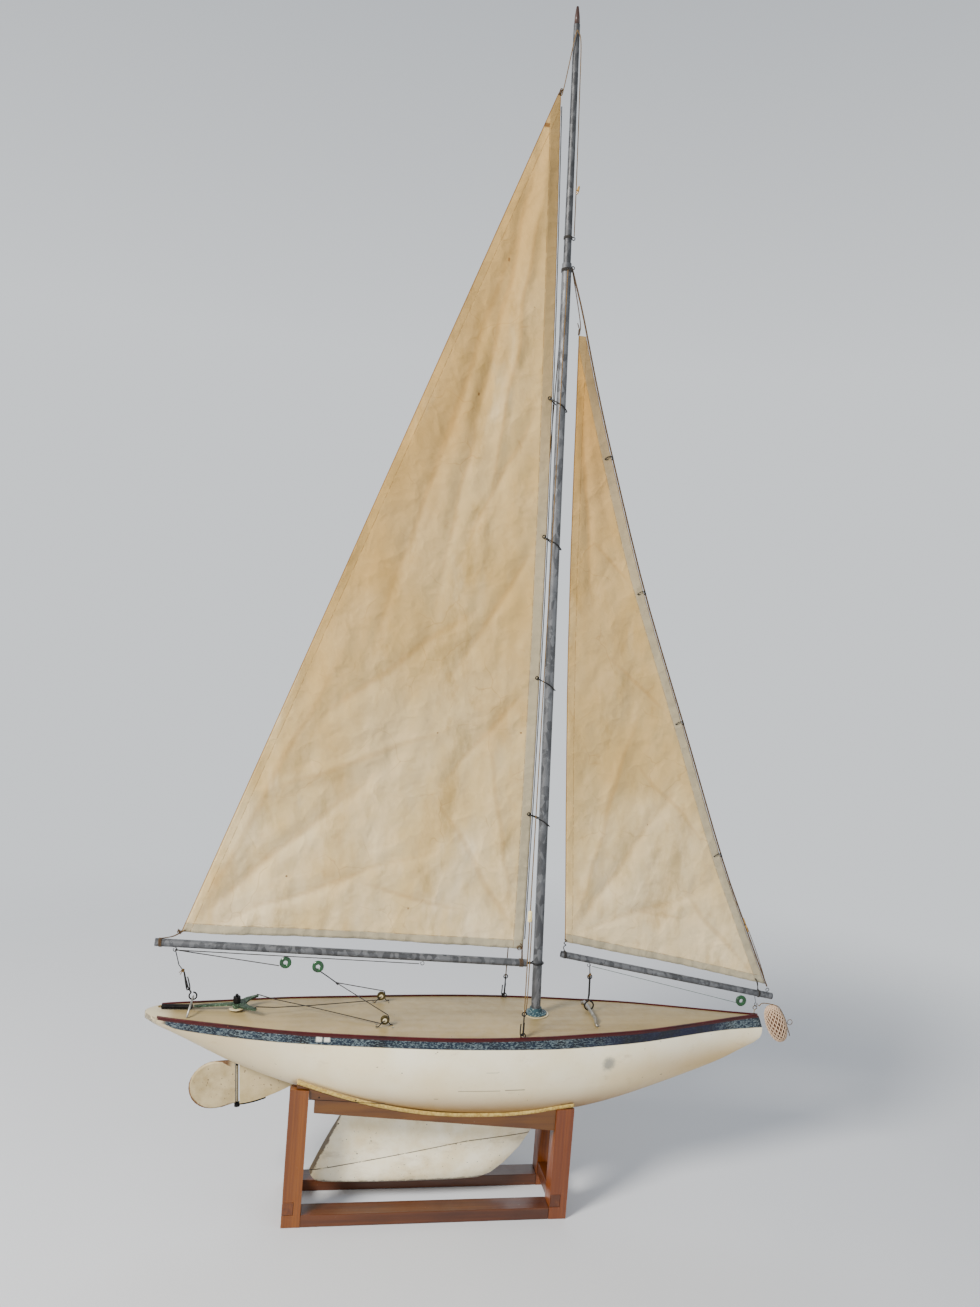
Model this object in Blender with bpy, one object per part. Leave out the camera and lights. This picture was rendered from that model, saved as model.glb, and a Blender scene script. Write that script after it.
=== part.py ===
"""Free-sailing pond yacht on its display cradle: sloop rig, fin keel, Braine steering gear.

Frame: X runs forward to the bow, Y to port, Z up. The origin is on the floor under the middle of
the model. Sizes are in metres.
"""
import math

import bmesh
import bpy
from mathutils import Matrix, Vector

GAP = 0.0003                     # clearance left between touching pieces

# --- hull ---------------------------------------------------------------------------------------
STERN_X = -0.4854                # aft tip of the counter
STEM_X = 0.4292                  # stem head, at deck level
SHEER_LOW_Z = 0.2768             # lowest point of the sheer line
SHEER_LOW_X = -0.045
SHEER_RISE_AFT = 0.0052
SHEER_RISE_FWD = 0.0038
BEAM_LINE = [(-0.4854, 0.0155), (-0.4552, 0.0262), (-0.3752, 0.0427), (-0.2952, 0.0577),
             (-0.2152, 0.0666), (-0.0952, 0.0758), (-0.0152, 0.0774), (0.0648, 0.0736),
             (0.1448, 0.0643), (0.2248, 0.0527), (0.3048, 0.0337), (0.3848, 0.0124),
             (0.4292, 0.0018)]
STERN_ROUNDING = 0.022           # length over which the counter rounds in to the tip
KEEL_LINE = [(-0.4854, 0.2730), (-0.4415, 0.2530), (-0.3600, 0.2135), (-0.2689, 0.1815),
             (-0.1700, 0.1560), (-0.0600, 0.1408), (0.0400, 0.1392), (0.1436, 0.1480),
             (0.2400, 0.1690), (0.3520, 0.2030), (0.4292, 0.2360)]
FULLNESS_LINE = [(-0.4854, 2.0), (-0.2700, 2.4), (-0.0300, 2.7), (0.1300, 2.8), (0.3000, 2.2),
                 (0.4292, 1.9)]
STEM_BULGE = [(0.0, 0.0), (0.25, 0.0052), (0.52, 0.0092), (0.80, 0.0062), (1.0, -0.0040)]
STEM_BULGE_FROM = 0.370          # where the sections start to lean forward to the stem
HULL_WALL = 0.0065
HOLLOW_X = (-0.400, 0.370)
DECK_THICK = 0.003
DECK_BELOW_SHEER = 0.0015        # deck edge below the top of the gunwale strip
DECK_CAMBER = 0.0055
STRIP_WIDTH = 0.0034
STRIP_HEIGHT = 0.0024
STRIP_AFT_X = -0.466
STRIP_FWD_X = 0.4270

# --- appendages ---------------------------------------------------------------------------------
FIN_AFT_TOP = (-0.1880, 0.1640)
SEAM = [(-0.2441, 0.0495), (-0.0171, 0.0910), (0.0782, 0.1001)]
FIN_FWD_TOP = (0.1330, 0.1468)
FIN_HALF = 0.0075
LEAD_HALF = 0.0105
LEAD_BOTTOM_Z = 0.0322
LEAD_BOTTOM_RISE = 0.0085
KEEL_BOLTS = (("keel_bolt_aft", -0.120), ("keel_bolt_forward", 0.030))
BOLT_R = 0.0018
SKEG_HALF = 0.0036
RUDDER_AXIS_LOW = (-0.3520, 0.1490)
RUDDER_LEAN = math.radians(3.75)
STOCK_R = 0.0020
TUBE_R = 0.0035
BLADE_HALF = 0.0024

# --- spars --------------------------------------------------------------------------------------
MAST_FOOT = (0.0733, 0.2815)
MAST_RAKE = math.radians(2.302)
MAST_R = 0.0070
MAST_BORE = 0.0060
MAST_JOINT_Z = 1.3817
TOPMAST_R = (0.00575, 0.0046)
TOPMAST_TOP_Z = 1.7156
TIP_Z = 1.7418
BOOM_R = 0.0055
BOOM_AFT = (-0.4780, 0.3799)
BOOM_FWD = (0.0530, 0.3576)
JIB_BOOM_R = 0.0049
JIB_BOOM_AFT = (0.1050, 0.3719)
JIB_BOOM_FWD = (0.4496, 0.3105)
TUBE_WALL = 0.0011
JIB_AXIS_LOW = (0.4245, 0.2975)
JIB_AXIS_TOP = (0.0370, 1.3767)

# --- sails --------------------------------------------------------------------------------------
CLOTH = 0.0012
HEAD_WIDTH = 0.0060
MAIN_HEAD = (0.0004, 1.6180)
MAIN_TACK = (0.0462, 0.3786)
MAIN_CLEW = (-0.4441, 0.3946)
MAIN_LUFF_ROUND = 0.0080
JIB_HEAD = (0.0585, 1.2823)
JIB_TACK = (0.4275, 0.3300)
JIB_CLEW = (0.1097, 0.3902)
JIB_LEECH_ROUND = 0.0055
FORESTAY = [(0.0372, 1.3767), (0.0586, 1.3140), (0.0880, 1.2150), (0.1210, 1.1127), (0.1881, 0.9197),
            (0.2653, 0.7293), (0.3451, 0.5300), (0.3940, 0.4230), (0.4401, 0.3262)]
HOOP_HEIGHTS = [1.1766, 0.9775, 0.7713, 0.5697]

# --- cradle -------------------------------------------------------------------------------------
STAND_X = (-0.2792, 0.1288)
STAND_HALF_W = 0.0558
POST_W = 0.0260
POST_D = 0.0277
POST_AFT_H = 0.1955
POST_FWD_H = 0.1638
RAIL_H = 0.0170
CROSS_W = 0.0155
CROSS_Z = (0.0178, 0.0360)
UPPER_CROSS_Z = (0.1080, 0.1290)
BOARD_Y = (0.0410, 0.0528)       # inner and outer face of a cradle board
BOARD_LOW = [(-0.2447, 0.1610), (0.0984, 0.1307)]     # straight underside of a cradle board
BOARD_SLOPE = (BOARD_LOW[1][1] - BOARD_LOW[0][1]) / (BOARD_LOW[1][0] - BOARD_LOW[0][0])
WEDGE_LOW = [(-0.2534, 0.1808), (-0.1471, 0.1735)]    # joint between the wedge and the board
WEDGE_SLOPE = (WEDGE_LOW[1][1] - WEDGE_LOW[0][1]) / (WEDGE_LOW[1][0] - WEDGE_LOW[0][0])
BOARD_MIN = 0.0050               # least depth of a cradle board
WEDGE_MIN = 0.0016               # least thickness of the wedge over the aft post
TENON_INSET = 0.0006
PAD_THICK = 0.0058
PAD_LINE = [(-0.2703, 0.2075), (-0.1880, 0.1815), (-0.1326, 0.1690), (-0.0767, 0.1612),
            (-0.0200, 0.1588), (0.0573, 0.1632), (0.1288, 0.1708)]

# --- deck gear ----------------------------------------------------------------------------------
LINE_R = 0.00042                 # rigging cord radius
SHROUD_X = 0.0393
SHROUD_Y = 0.0718
SHROUD_HOOK = 0.0320
SHROUD_BOWSIE_UP = 0.1690
PULLEY = (-0.1550, 0.0420, 0.2888)
SHEAVE_R = 0.0060
GROOVE_R = 0.0050
SHEAVE_W = 0.0044
QUADRANT_Z = 0.2935
BRIDLE_EYE = (-0.2250, 0.3251)
HORSE_X = -0.4263
HORSE_HALF = 0.0245
HORSE_TOP_Z = 0.3010
JIB_HORSE_X = 0.1570
JIB_HORSE_HALF = 0.0370
JIB_HORSE_Z = 0.2868
MAIN_BOWSIE = (-0.2982, 0.3534)
STEERING_BOWSIE = (-0.2522, 0.3482)
JIB_BOWSIE = (0.3993, 0.3028)
RING_R = 0.0084                  # green ring bowsies: outer radius, hole and width
RING_HOLE = 0.0031
RING_W = 0.0042
EYE_WIRE_R = 0.0006              # wire of the screw eyes and hooks
LUFF_ROPE_GAP = 0.0010
HOOP_R = 0.0094
HOOP_TILT = 0.24
BUMPER_CENTRE = (0.4610, 0.2672)
BUMPER_HALF = (0.0300, 0.0150)
BUMPER_TILT = math.radians(24)

PAINT = {
    "cream_paint": ((0.78, 0.72, 0.58), 0.35, 0.0),
    "deck_paint": ((0.62, 0.54, 0.40), 0.45, 0.0),
    "maroon_paint": ((0.13, 0.02, 0.02), 0.4, 0.0),
    "galvanised": ((0.36, 0.38, 0.40), 0.5, 0.7),
    "sailcloth": ((0.74, 0.62, 0.44), 0.85, 0.0),
    "cord": ((0.50, 0.44, 0.33), 0.85, 0.0),
    "dark_wire": ((0.05, 0.05, 0.05), 0.45, 0.8),
    "brass": ((0.55, 0.43, 0.20), 0.4, 1.0),
    "verdigris": ((0.16, 0.25, 0.19), 0.7, 0.4),
    "green_bowsie": ((0.01, 0.12, 0.05), 0.3, 0.0),
    "cream_bowsie": ((0.72, 0.62, 0.40), 0.5, 0.0),
    "varnished_wood": ((0.38, 0.13, 0.04), 0.35, 0.0),
    "plain_wood": ((0.45, 0.30, 0.16), 0.6, 0.0),
    "padding": ((0.78, 0.68, 0.45), 0.8, 0.0),
    "crochet": ((0.74, 0.62, 0.50), 0.9, 0.0),
    "lead": ((0.70, 0.66, 0.54), 0.45, 0.0),
}


# ================================================================================================
# helpers
# ================================================================================================
def material(name):
    """One shared Principled material for each finish."""
    found = bpy.data.materials.get(name)
    if found:
        return found
    colour, rough, metal = PAINT[name]
    mat = bpy.data.materials.new(name)
    mat.use_nodes = True
    shader = mat.node_tree.nodes["Principled BSDF"]
    shader.inputs["Base Color"].default_value = (*colour, 1.0)
    shader.inputs["Roughness"].default_value = rough
    shader.inputs["Metallic"].default_value = metal
    mat.diffuse_color = (*colour, 1.0)
    return mat


def place(obj, finish, parent=None):
    """Link an object, give it its finish, and hang it on a parent without moving it."""
    obj.data.materials.append(material(finish))
    bpy.context.scene.collection.objects.link(obj)
    if parent is not None:
        bpy.context.view_layer.update()
        obj.parent = parent
        obj.matrix_parent_inverse = parent.matrix_world.inverted()
    return obj


def pivot(name, point, lean=0.0):
    """Empty on a joint axis; its local Z is the axis, leaning aft by the given angle."""
    empty = bpy.data.objects.new(name, None)
    empty.location = point
    empty.rotation_euler = (0.0, -lean, 0.0)
    empty.empty_display_size = 0.02
    bpy.context.scene.collection.objects.link(empty)
    return empty


def from_bmesh(name, mesh_data, finish, parent=None, smooth=True):
    bmesh.ops.remove_doubles(mesh_data, verts=mesh_data.verts, dist=1e-7)
    bmesh.ops.recalc_face_normals(mesh_data, faces=mesh_data.faces)
    mesh = bpy.data.meshes.new(name)
    mesh_data.to_mesh(mesh)
    mesh_data.free()
    if smooth:
        mesh.shade_smooth()
        mesh.set_sharp_from_angle(angle=math.radians(35))
    return place(bpy.data.objects.new(name, mesh), finish, parent)


def line_value(points, x):
    """Smooth curve through a short list of (x, value) points."""
    if x <= points[0][0]:
        return points[0][1]
    if x >= points[-1][0]:
        return points[-1][1]
    slopes = []
    for i in range(len(points)):
        lo = max(i - 1, 0)
        hi = min(i + 1, len(points) - 1)
        slopes.append((points[hi][1] - points[lo][1]) / (points[hi][0] - points[lo][0]))
    i = max(j for j in range(len(points) - 1) if points[j][0] <= x)
    (x0, v0), (x1, v1) = points[i], points[i + 1]
    h = x1 - x0
    t = (x - x0) / h
    start = (1 + 2 * t) * (1 - t) ** 2 * v0 + t * (1 - t) ** 2 * h * slopes[i]
    end = t * t * (3 - 2 * t) * v1 + t * t * (t - 1) * h * slopes[i + 1]
    return start + end


def loft(name, rings, finish, parent=None, ladder=False):
    """Closed solid through equal closed rings of points, capped at both ends.

    A ladder cap joins the two sides of a symmetric ring rung by rung, so that it may be curved.
    """
    bm = bmesh.new()
    rows = [[bm.verts.new(p) for p in ring] for ring in rings]
    count = len(rows[0])
    for a, b in zip(rows, rows[1:]):
        for i in range(count):
            j = (i + 1) % count
            bm.faces.new((a[i], a[j], b[j], b[i]))
    for row in (rows[0], rows[-1]):
        if not ladder:
            bm.faces.new(row)
            continue
        for i in range(count // 2 - 1):
            bm.faces.new((row[i], row[i + 1], row[count - 2 - i], row[count - 1 - i]))
    return from_bmesh(name, bm, finish, parent)


def slab(name, xs, ys, lower, upper, finish, parent=None):
    """Board between two height functions of (x, y), over rising lists of x and y values.

    Its top and bottom are split along the same diagonals, so that boards stacked on the same
    grid stay apart by the gap between their height functions.
    """
    bm = bmesh.new()
    top = [[bm.verts.new((x, y, upper(x, y))) for y in ys] for x in xs]
    low = [[bm.verts.new((x, y, lower(x, y))) for y in ys] for x in xs]
    for i in range(len(xs) - 1):
        for j in range(len(ys) - 1):
            for grid in (top, low):
                a, b, c, d = grid[i][j], grid[i + 1][j], grid[i + 1][j + 1], grid[i][j + 1]
                bm.faces.new((a, b, c))
                bm.faces.new((a, c, d))
        for j in (0, len(ys) - 1):
            bm.faces.new((top[i][j], top[i + 1][j], low[i + 1][j], low[i][j]))
    for i in (0, len(xs) - 1):
        for j in range(len(ys) - 1):
            bm.faces.new((top[i][j], top[i][j + 1], low[i][j + 1], low[i][j]))
    return from_bmesh(name, bm, finish, parent)


def box(name, low, high, finish, parent=None):
    corners = [(low[1], low[2]), (high[1], low[2]), (high[1], high[2]), (low[1], high[2])]
    rings = [[(x, y, z) for y, z in corners] for x in (low[0], high[0])]
    return loft(name, rings, finish, parent)


def frame_along(start, end):
    """Matrix whose Z runs from start to end."""
    direction = (Vector(end) - Vector(start)).normalized()
    turn = direction.to_track_quat("Z", "Y").to_matrix().to_4x4()
    return Matrix.Translation(start) @ turn


def turned(name, start, end, profile, finish, parent=None, sides=20):
    """Solid of revolution about start-end; profile is a closed loop of (radius, distance)."""
    bm = bmesh.new()
    matrix = frame_along(start, end)
    rows = []
    for radius, along in profile:
        if radius < 1e-9:
            rows.append([bm.verts.new(matrix @ Vector((0, 0, along)))])
            continue
        ring = []
        for i in range(sides):
            a = 2 * math.pi * i / sides
            ring.append(bm.verts.new(matrix @ Vector((radius * math.cos(a), radius * math.sin(a), along))))
        rows.append(ring)
    closed = len(rows[0]) > 1 and len(rows[-1]) > 1
    pairs = list(zip(rows, rows[1:])) + ([(rows[-1], rows[0])] if closed else [])
    for a, b in pairs:
        for i in range(sides):
            j = (i + 1) % sides
            if len(a) == 1:
                bm.faces.new((a[0], b[j], b[i]))
            elif len(b) == 1:
                bm.faces.new((a[i], a[j], b[0]))
            else:
                bm.faces.new((a[i], a[j], b[j], b[i]))
    return from_bmesh(name, bm, finish, parent)


def rod(name, start, end, radius, finish, parent=None, sides=16):
    length = (Vector(end) - Vector(start)).length
    profile = [(0, 0), (radius, 0), (radius, length), (0, length)]
    return turned(name, start, end, profile, finish, parent, sides)


def tube(name, start, end, outer, inner, finish, parent=None, sides=20):
    length = (Vector(end) - Vector(start)).length
    profile = [(inner, 0), (outer, 0), (outer, length), (inner, length)]
    return turned(name, start, end, profile, finish, parent, sides)


def wire(name, path, radius, finish, parent=None, resolution=1, scales=None):
    """Bent wire or cord swept along a list of points; scales can thicken it point by point."""
    curve = bpy.data.curves.new(name, "CURVE")
    curve.dimensions = "3D"
    curve.bevel_depth = radius
    curve.bevel_resolution = resolution
    curve.use_fill_caps = True
    spline = curve.splines.new("POLY")
    spline.points.add(len(path) - 1)
    for i, (point, co) in enumerate(zip(spline.points, path)):
        point.co = (*co, 1.0)
        if scales:
            point.radius = scales[i]
    return place(bpy.data.objects.new(name, curve), finish, parent)


def solid_wire(name, path, radius, finish, parent=None, resolution=1):
    """The same bent wire as a mesh, so that it can be united with what it is screwed into."""
    swept = wire(name + "_path", path, radius, finish, None, resolution)
    bpy.context.view_layer.update()
    view = bpy.context.evaluated_depsgraph_get()
    mesh = bpy.data.meshes.new_from_object(swept.evaluated_get(view))
    bpy.data.objects.remove(swept, do_unlink=True)
    mesh.materials.clear()
    tidy = bmesh.new()
    tidy.from_mesh(mesh)
    bmesh.ops.remove_doubles(tidy, verts=tidy.verts, dist=1e-6)
    bmesh.ops.recalc_face_normals(tidy, faces=tidy.faces)
    tidy.to_mesh(mesh)
    tidy.free()
    return place(bpy.data.objects.new(name, mesh), finish, parent)


def smooth_path(points, count):
    """Points spaced along a smooth curve through a few given points."""
    pts = [Vector(p) for p in points]
    pts = [2 * pts[0] - pts[1]] + pts + [2 * pts[-1] - pts[-2]]
    out = []
    spans = len(pts) - 3
    for k in range(count):
        u = spans * k / (count - 1)
        i = min(int(u), spans - 1)
        t = u - i
        a, b, c, d = pts[i:i + 4]
        out.append(0.5 * (2 * b + (c - a) * t + (2 * a - 5 * b + 4 * c - d) * t ** 2
                          + (3 * b - a - 3 * c + d) * t ** 3))
    return out


def ring_path(centre, across, up, radius, start=0.0, sweep=345.0, steps=12):
    """Open ring of wire in the plane of two unit vectors, leaving a saw-cut where its ends meet."""
    out = []
    for i in range(steps + 1):
        a = math.radians(start + sweep * i / steps)
        out.append(Vector(centre) + Vector(across) * radius * math.cos(a)
                   + Vector(up) * radius * math.sin(a))
    return out


def screw_eye(foot, up, across, radius, shank, steps=10):
    """Screw eye: a straight shank from its foot, then a ring that stops short of the shank."""
    up = Vector(up).normalized()
    across = Vector(across).normalized()
    centre = Vector(foot) + up * (shank + radius)
    return [Vector(foot)] + ring_path(centre, across, up, radius, -90.0, 320.0, steps)


def cut(target, cutter):
    """Take a guide solid away from a piece."""
    cutter.hide_render = True
    cutter.display_type = "WIRE"
    step = target.modifiers.new("cut_" + cutter.name, "BOOLEAN")
    step.operation = "DIFFERENCE"
    step.solver = "EXACT"
    step.object = cutter


def unite(target, helper):
    """Make a helper solid part of a piece."""
    helper.hide_render = True
    helper.display_type = "WIRE"
    step = target.modifiers.new("unite_" + helper.name, "BOOLEAN")
    step.operation = "UNION"
    step.solver = "EXACT"
    step.object = helper


def flat(point, y=0.0):
    """3-D point from an (x, z) pair on the centre plane."""
    return (point[0], y, point[1])


def along(a, b, t):
    return tuple(p + (q - p) * t for p, q in zip(a, b))


# ================================================================================================
# hull form
# ================================================================================================
def sheer_z(x):
    if x < SHEER_LOW_X:
        return SHEER_LOW_Z + SHEER_RISE_AFT * ((x - SHEER_LOW_X) / 0.37) ** 2
    return SHEER_LOW_Z + SHEER_RISE_FWD * ((x - SHEER_LOW_X) / 0.43) ** 2


def half_beam(x):
    value = line_value(BEAM_LINE, x)
    q = (x - STERN_X) / STERN_ROUNDING
    if q < 1.0:
        value *= math.sqrt(max(1.0 - (1.0 - q) ** 2, 0.0))
    return max(value, 0.0006)


def keel_z(x):
    return line_value(KEEL_LINE, x)


def section_z(x, y):
    """Height of the hull's underside at (x, y)."""
    top = sheer_z(x)
    power = line_value(FULLNESS_LINE, x)
    ratio = min(abs(y) / half_beam(x), 1.0)
    return top - (top - keel_z(x)) * (1.0 - ratio ** power) ** (1.0 / power)


def stem_lean(x, depth):
    """Forward lean of a hull section near the bow, by its depth from 0 (sheer) to 1 (keel)."""
    if x <= STEM_BULGE_FROM:
        return 0.0
    t = (x - STEM_BULGE_FROM) / (STEM_X - STEM_BULGE_FROM)
    return line_value(STEM_BULGE, depth) * t * t * (3 - 2 * t)


def hull_section(x, top_z, inset=0.0, steps=9):
    """Closed ring of hull points at a station, from the starboard rim round the keel to port."""
    beam = max(half_beam(x) - inset, 0.0004)
    low = keel_z(x) + inset
    sheer = sheer_z(x)
    power = line_value(FULLNESS_LINE, x)
    rim = math.asin(min((sheer - top_z) / (sheer - low), 0.9) ** (power / 2))
    ring = []
    for i in range(2 * steps + 1):
        a = rim + (math.pi - 2 * rim) * i / (2 * steps)
        y = -beam * abs(math.cos(a)) ** (2 / power) * (1 if i < steps else -1)
        depth = abs(math.sin(a)) ** (2 / power)
        ring.append((x + stem_lean(x, depth), 0.0 if i == steps else y, sheer - (sheer - low) * depth))
    return ring


def hull_stations(first, last, count):
    """Stations that crowd together towards both ends."""
    return [first + (last - first) * (1 - math.cos(math.pi * i / count)) / 2 for i in range(count + 1)]


def deck_z(x, y):
    """Top of the deck: its edge sits below the sheer and its middle rises to the camber."""
    fall = (y / half_beam(x)) ** 2
    crown = DECK_CAMBER * min(half_beam(x) / 0.05, 1.0)
    return sheer_z(x) - DECK_BELOW_SHEER + crown * (1 - fall)


def rim_z(x):
    return sheer_z(x) - DECK_BELOW_SHEER - DECK_THICK - GAP


def build_hull(boat):
    rings = [hull_section(x, rim_z(x)) for x in hull_stations(STERN_X + 0.0002, STEM_X, 34)]
    hull = loft("hull_shell", rings, "cream_paint", boat)
    hollow = []
    for x in hull_stations(HOLLOW_X[0], HOLLOW_X[1], 20):
        ring = hull_section(x, sheer_z(x), HULL_WALL, 7)
        lift = [(px, py, pz + 0.01) for px, py, pz in (ring[0], ring[-1])]
        hollow.append([lift[0]] + ring + [lift[1]])
    cut(hull, loft("cutter_hollow", hollow, "plain_wood", boat))

    def deck_ring(x):
        beam = half_beam(x)
        ys = [-beam + 2 * beam * i / 8 for i in range(9)]
        top = [(x, y, deck_z(x, y)) for y in ys]
        return top + [(x, y, z - DECK_THICK) for x, y, z in reversed(top)]

    deck = loft("deck", [deck_ring(x) for x in hull_stations(STERN_X + 0.0004, STEM_X, 26)],
                "deck_paint", boat)
    build_gunwale(boat)
    return hull, deck


def build_gunwale(boat):
    """Painted strip round the deck edge, from one quarter round the stem to the other."""
    def ring(x, side):
        outer = half_beam(x) + 0.0003
        inner = max(outer - STRIP_WIDTH, 0.0012)
        low = deck_z(x, inner) + GAP
        high = max(deck_z(x, half_beam(x)) + STRIP_HEIGHT, low + 0.0008)
        return [(x, side * outer, low), (x, side * outer, high), (x, side * inner, high),
                (x, side * inner, low)]

    stations = hull_stations(STRIP_AFT_X, STRIP_FWD_X, 26)
    stem = ring(STRIP_FWD_X, 1)
    nose = [(x + shift, 0.0, z) for (x, y, z), shift in zip(stem, (0.0022, 0.0022, -0.0012, -0.0012))]
    rings = [ring(x, -1) for x in stations] + [nose] + [ring(x, 1) for x in reversed(stations)]
    loft("gunwale_strip", rings, "maroon_paint", boat)


def build_inside(boat, hull):
    """Block under the mast, and the keel bolts with their nuts."""
    x = MAST_FOOT[0]
    slab("mast_block", (x - 0.020, x + 0.020), (-0.016, 0.0, 0.016),
         lambda px, py: section_z(px, 1.15 * py) + HULL_WALL + 0.0014,
         lambda px, py: deck_z(px, 0.016) - DECK_THICK - GAP, "plain_wood", boat)
    for name, bx in KEEL_BOLTS:
        floor = keel_z(bx) + HULL_WALL
        bolt = rod(name, (bx, 0, seam_z(bx) - 0.020), (bx, 0, floor + 0.012), BOLT_R, "brass", boat, 12)
        unite(bolt, rod("nut_" + name, (bx, 0, floor + 0.0024), (bx, 0, floor + 0.0062), 0.0042,
                        "brass", boat, 6))
        cut(hull, rod("cutter_floor_" + name, (bx, 0, 0.02), (bx, 0, floor + 0.02), BOLT_R + GAP,
                      "brass", boat, 12))


# ================================================================================================
# keel, skeg and rudder
# ================================================================================================
def foil_ring(z, aft, fore, half, steps=7):
    """Horizontal streamlined section: blunt round nose, fine tail."""
    chord = fore - aft
    shape = []
    for i in range(steps + 1):
        t = i / steps
        s = t * t * (3 - 2 * t)
        thick = half * min(1.0, 1.9 * math.sqrt(s) * (1 - 0.55 * s)) if s < 0.5 else None
        if thick is None:
            thick = half * (0.12 + 0.88 * math.sqrt(max(1 - ((s - 0.5) / 0.5) ** 2, 0)))
        shape.append((fore - chord * s, max(thick, 0.0008)))
    port = [(x, y, z) for x, y in shape]
    return port + [(x, -y, z) for x, y in reversed(shape)]


def sheared_ring(low_line, level, steps=10):
    """Section of the fin whose height follows a line in x instead of staying level."""
    ring = foil_ring(0.0, level[0], level[1], level[2], steps)
    return [(x, y, low_line(x)) for x, y, z in ring]


def seam_z(x):
    """Joint between the wooden fin and the lead, two straight runs."""
    first = 0 if x < SEAM[1][0] else 1
    (x0, z0), (x1, z1) = SEAM[first], SEAM[first + 1]
    return z0 + (x - x0) / (x1 - x0) * (z1 - z0)


def build_keel(boat):
    rings = []
    levels = 6
    for i in range(levels + 1):
        t = i / levels
        aft = SEAM[0][0] + t * (FIN_AFT_TOP[0] - SEAM[0][0])
        fore = SEAM[2][0] + (FIN_FWD_TOP[0] - SEAM[2][0]) * t ** 1.6

        def height(x, t=t):
            return (1 - t) * (seam_z(x) + GAP) + t * (keel_z(x) - 2 * GAP)

        rings.append(sheared_ring(height, (aft, fore, FIN_HALF + 0.0015 * t)))
    fin = loft("keel_fin", rings, "cream_paint", boat, ladder=True)
    lead_rings = []
    outline = [(0.0, SEAM[0][0], SEAM[2][0], FIN_HALF), (0.35, -0.2425, 0.0650, LEAD_HALF - 0.0010),
               (0.70, -0.2385, 0.0430, LEAD_HALF), (0.90, -0.2345, 0.0240, LEAD_HALF - 0.0010),
               (1.0, -0.2290, 0.0040, LEAD_HALF - 0.0045)]
    for drop, aft, fore, half in outline:
        def height(x, drop=drop):
            bottom = LEAD_BOTTOM_Z + LEAD_BOTTOM_RISE * max(x / 0.06, 0.0) ** 2
            return seam_z(x) - GAP - drop * (seam_z(x) - GAP - bottom)

        lead_rings.append(sheared_ring(height, (aft, fore, half)))
    lead = loft("lead_ballast", lead_rings, "lead", boat, ladder=True)
    for name, bx in KEEL_BOLTS:
        hole = rod("cutter_" + name, (bx, 0, seam_z(bx) - 0.0205), (bx, 0, 0.20), BOLT_R + GAP,
                   "brass", boat, 12)
        cut(fin, hole)
        cut(lead, hole)


def rudder_point(height, aft=0.0, side=0.0):
    """Point given by distance up the rudder's leaning axis, aft of it and out to port."""
    c, s = math.cos(RUDDER_LEAN), math.sin(RUDDER_LEAN)
    return (RUDDER_AXIS_LOW[0] - s * height - c * aft, side, RUDDER_AXIS_LOW[1] + c * height - s * aft)


def build_skeg(boat):
    """Fixed skeg ahead of the rudder, following the hull's rising underside."""
    rings = []
    x_fore = -0.2700
    for i in range(11):
        t = i / 10
        aft_top = rudder_point(0.0632, -0.0038)
        aft_low = rudder_point(0.0010, -0.0038)
        x_low = aft_low[0] + t * (x_fore - aft_low[0])
        x_top = aft_top[0] + t * (x_fore - aft_top[0])
        low = aft_low[2] + (keel_z(x_fore) - 0.0022 - aft_low[2]) * t ** 1.5
        high = keel_z(x_top) - 2 * GAP
        low = min(low, keel_z(x_low) - 0.0020)
        half = SKEG_HALF * (1 - 0.35 * t)
        rings.append([(x_top, half, high), (x_top, -half, high), (x_low, -half, low), (x_low, half, low)])
    loft("skeg", rings, "cream_paint", boat)
    # black metal strap under the skeg, with the cup that carries the foot of the rudder stock
    cup_low = rudder_point(-0.0034)
    cup_high = rudder_point(0.0008)
    cup = turned("heel_strap", cup_low, cup_high, [(0, 0), (0.0036, 0), (0.0036, 0.0041),
                 (STOCK_R + 0.0003, 0.0041), (STOCK_R + 0.0003, 0.0012), (0, 0.0012)],
                 "dark_wire", boat, 16)
    strap_rings = []
    for i in range(7):
        t = i / 6
        x = cup_low[0] + 0.0029 + t * 0.0360
        u = (x - rudder_point(0.0010, -0.0038)[0]) / (x_fore - rudder_point(0.0010, -0.0038)[0])
        base = rudder_point(0.0010, -0.0038)[2]
        under = base + (keel_z(x_fore) - 0.0022 - base) * max(u, 0.0) ** 1.5 - GAP
        strap_rings.append([(x, 0.0028, under), (x, -0.0028, under), (x, -0.0028, under - 0.0012),
                            (x, 0.0028, under - 0.0012)])
    unite(cup, loft("strap_run", strap_rings, "dark_wire", boat))


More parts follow.
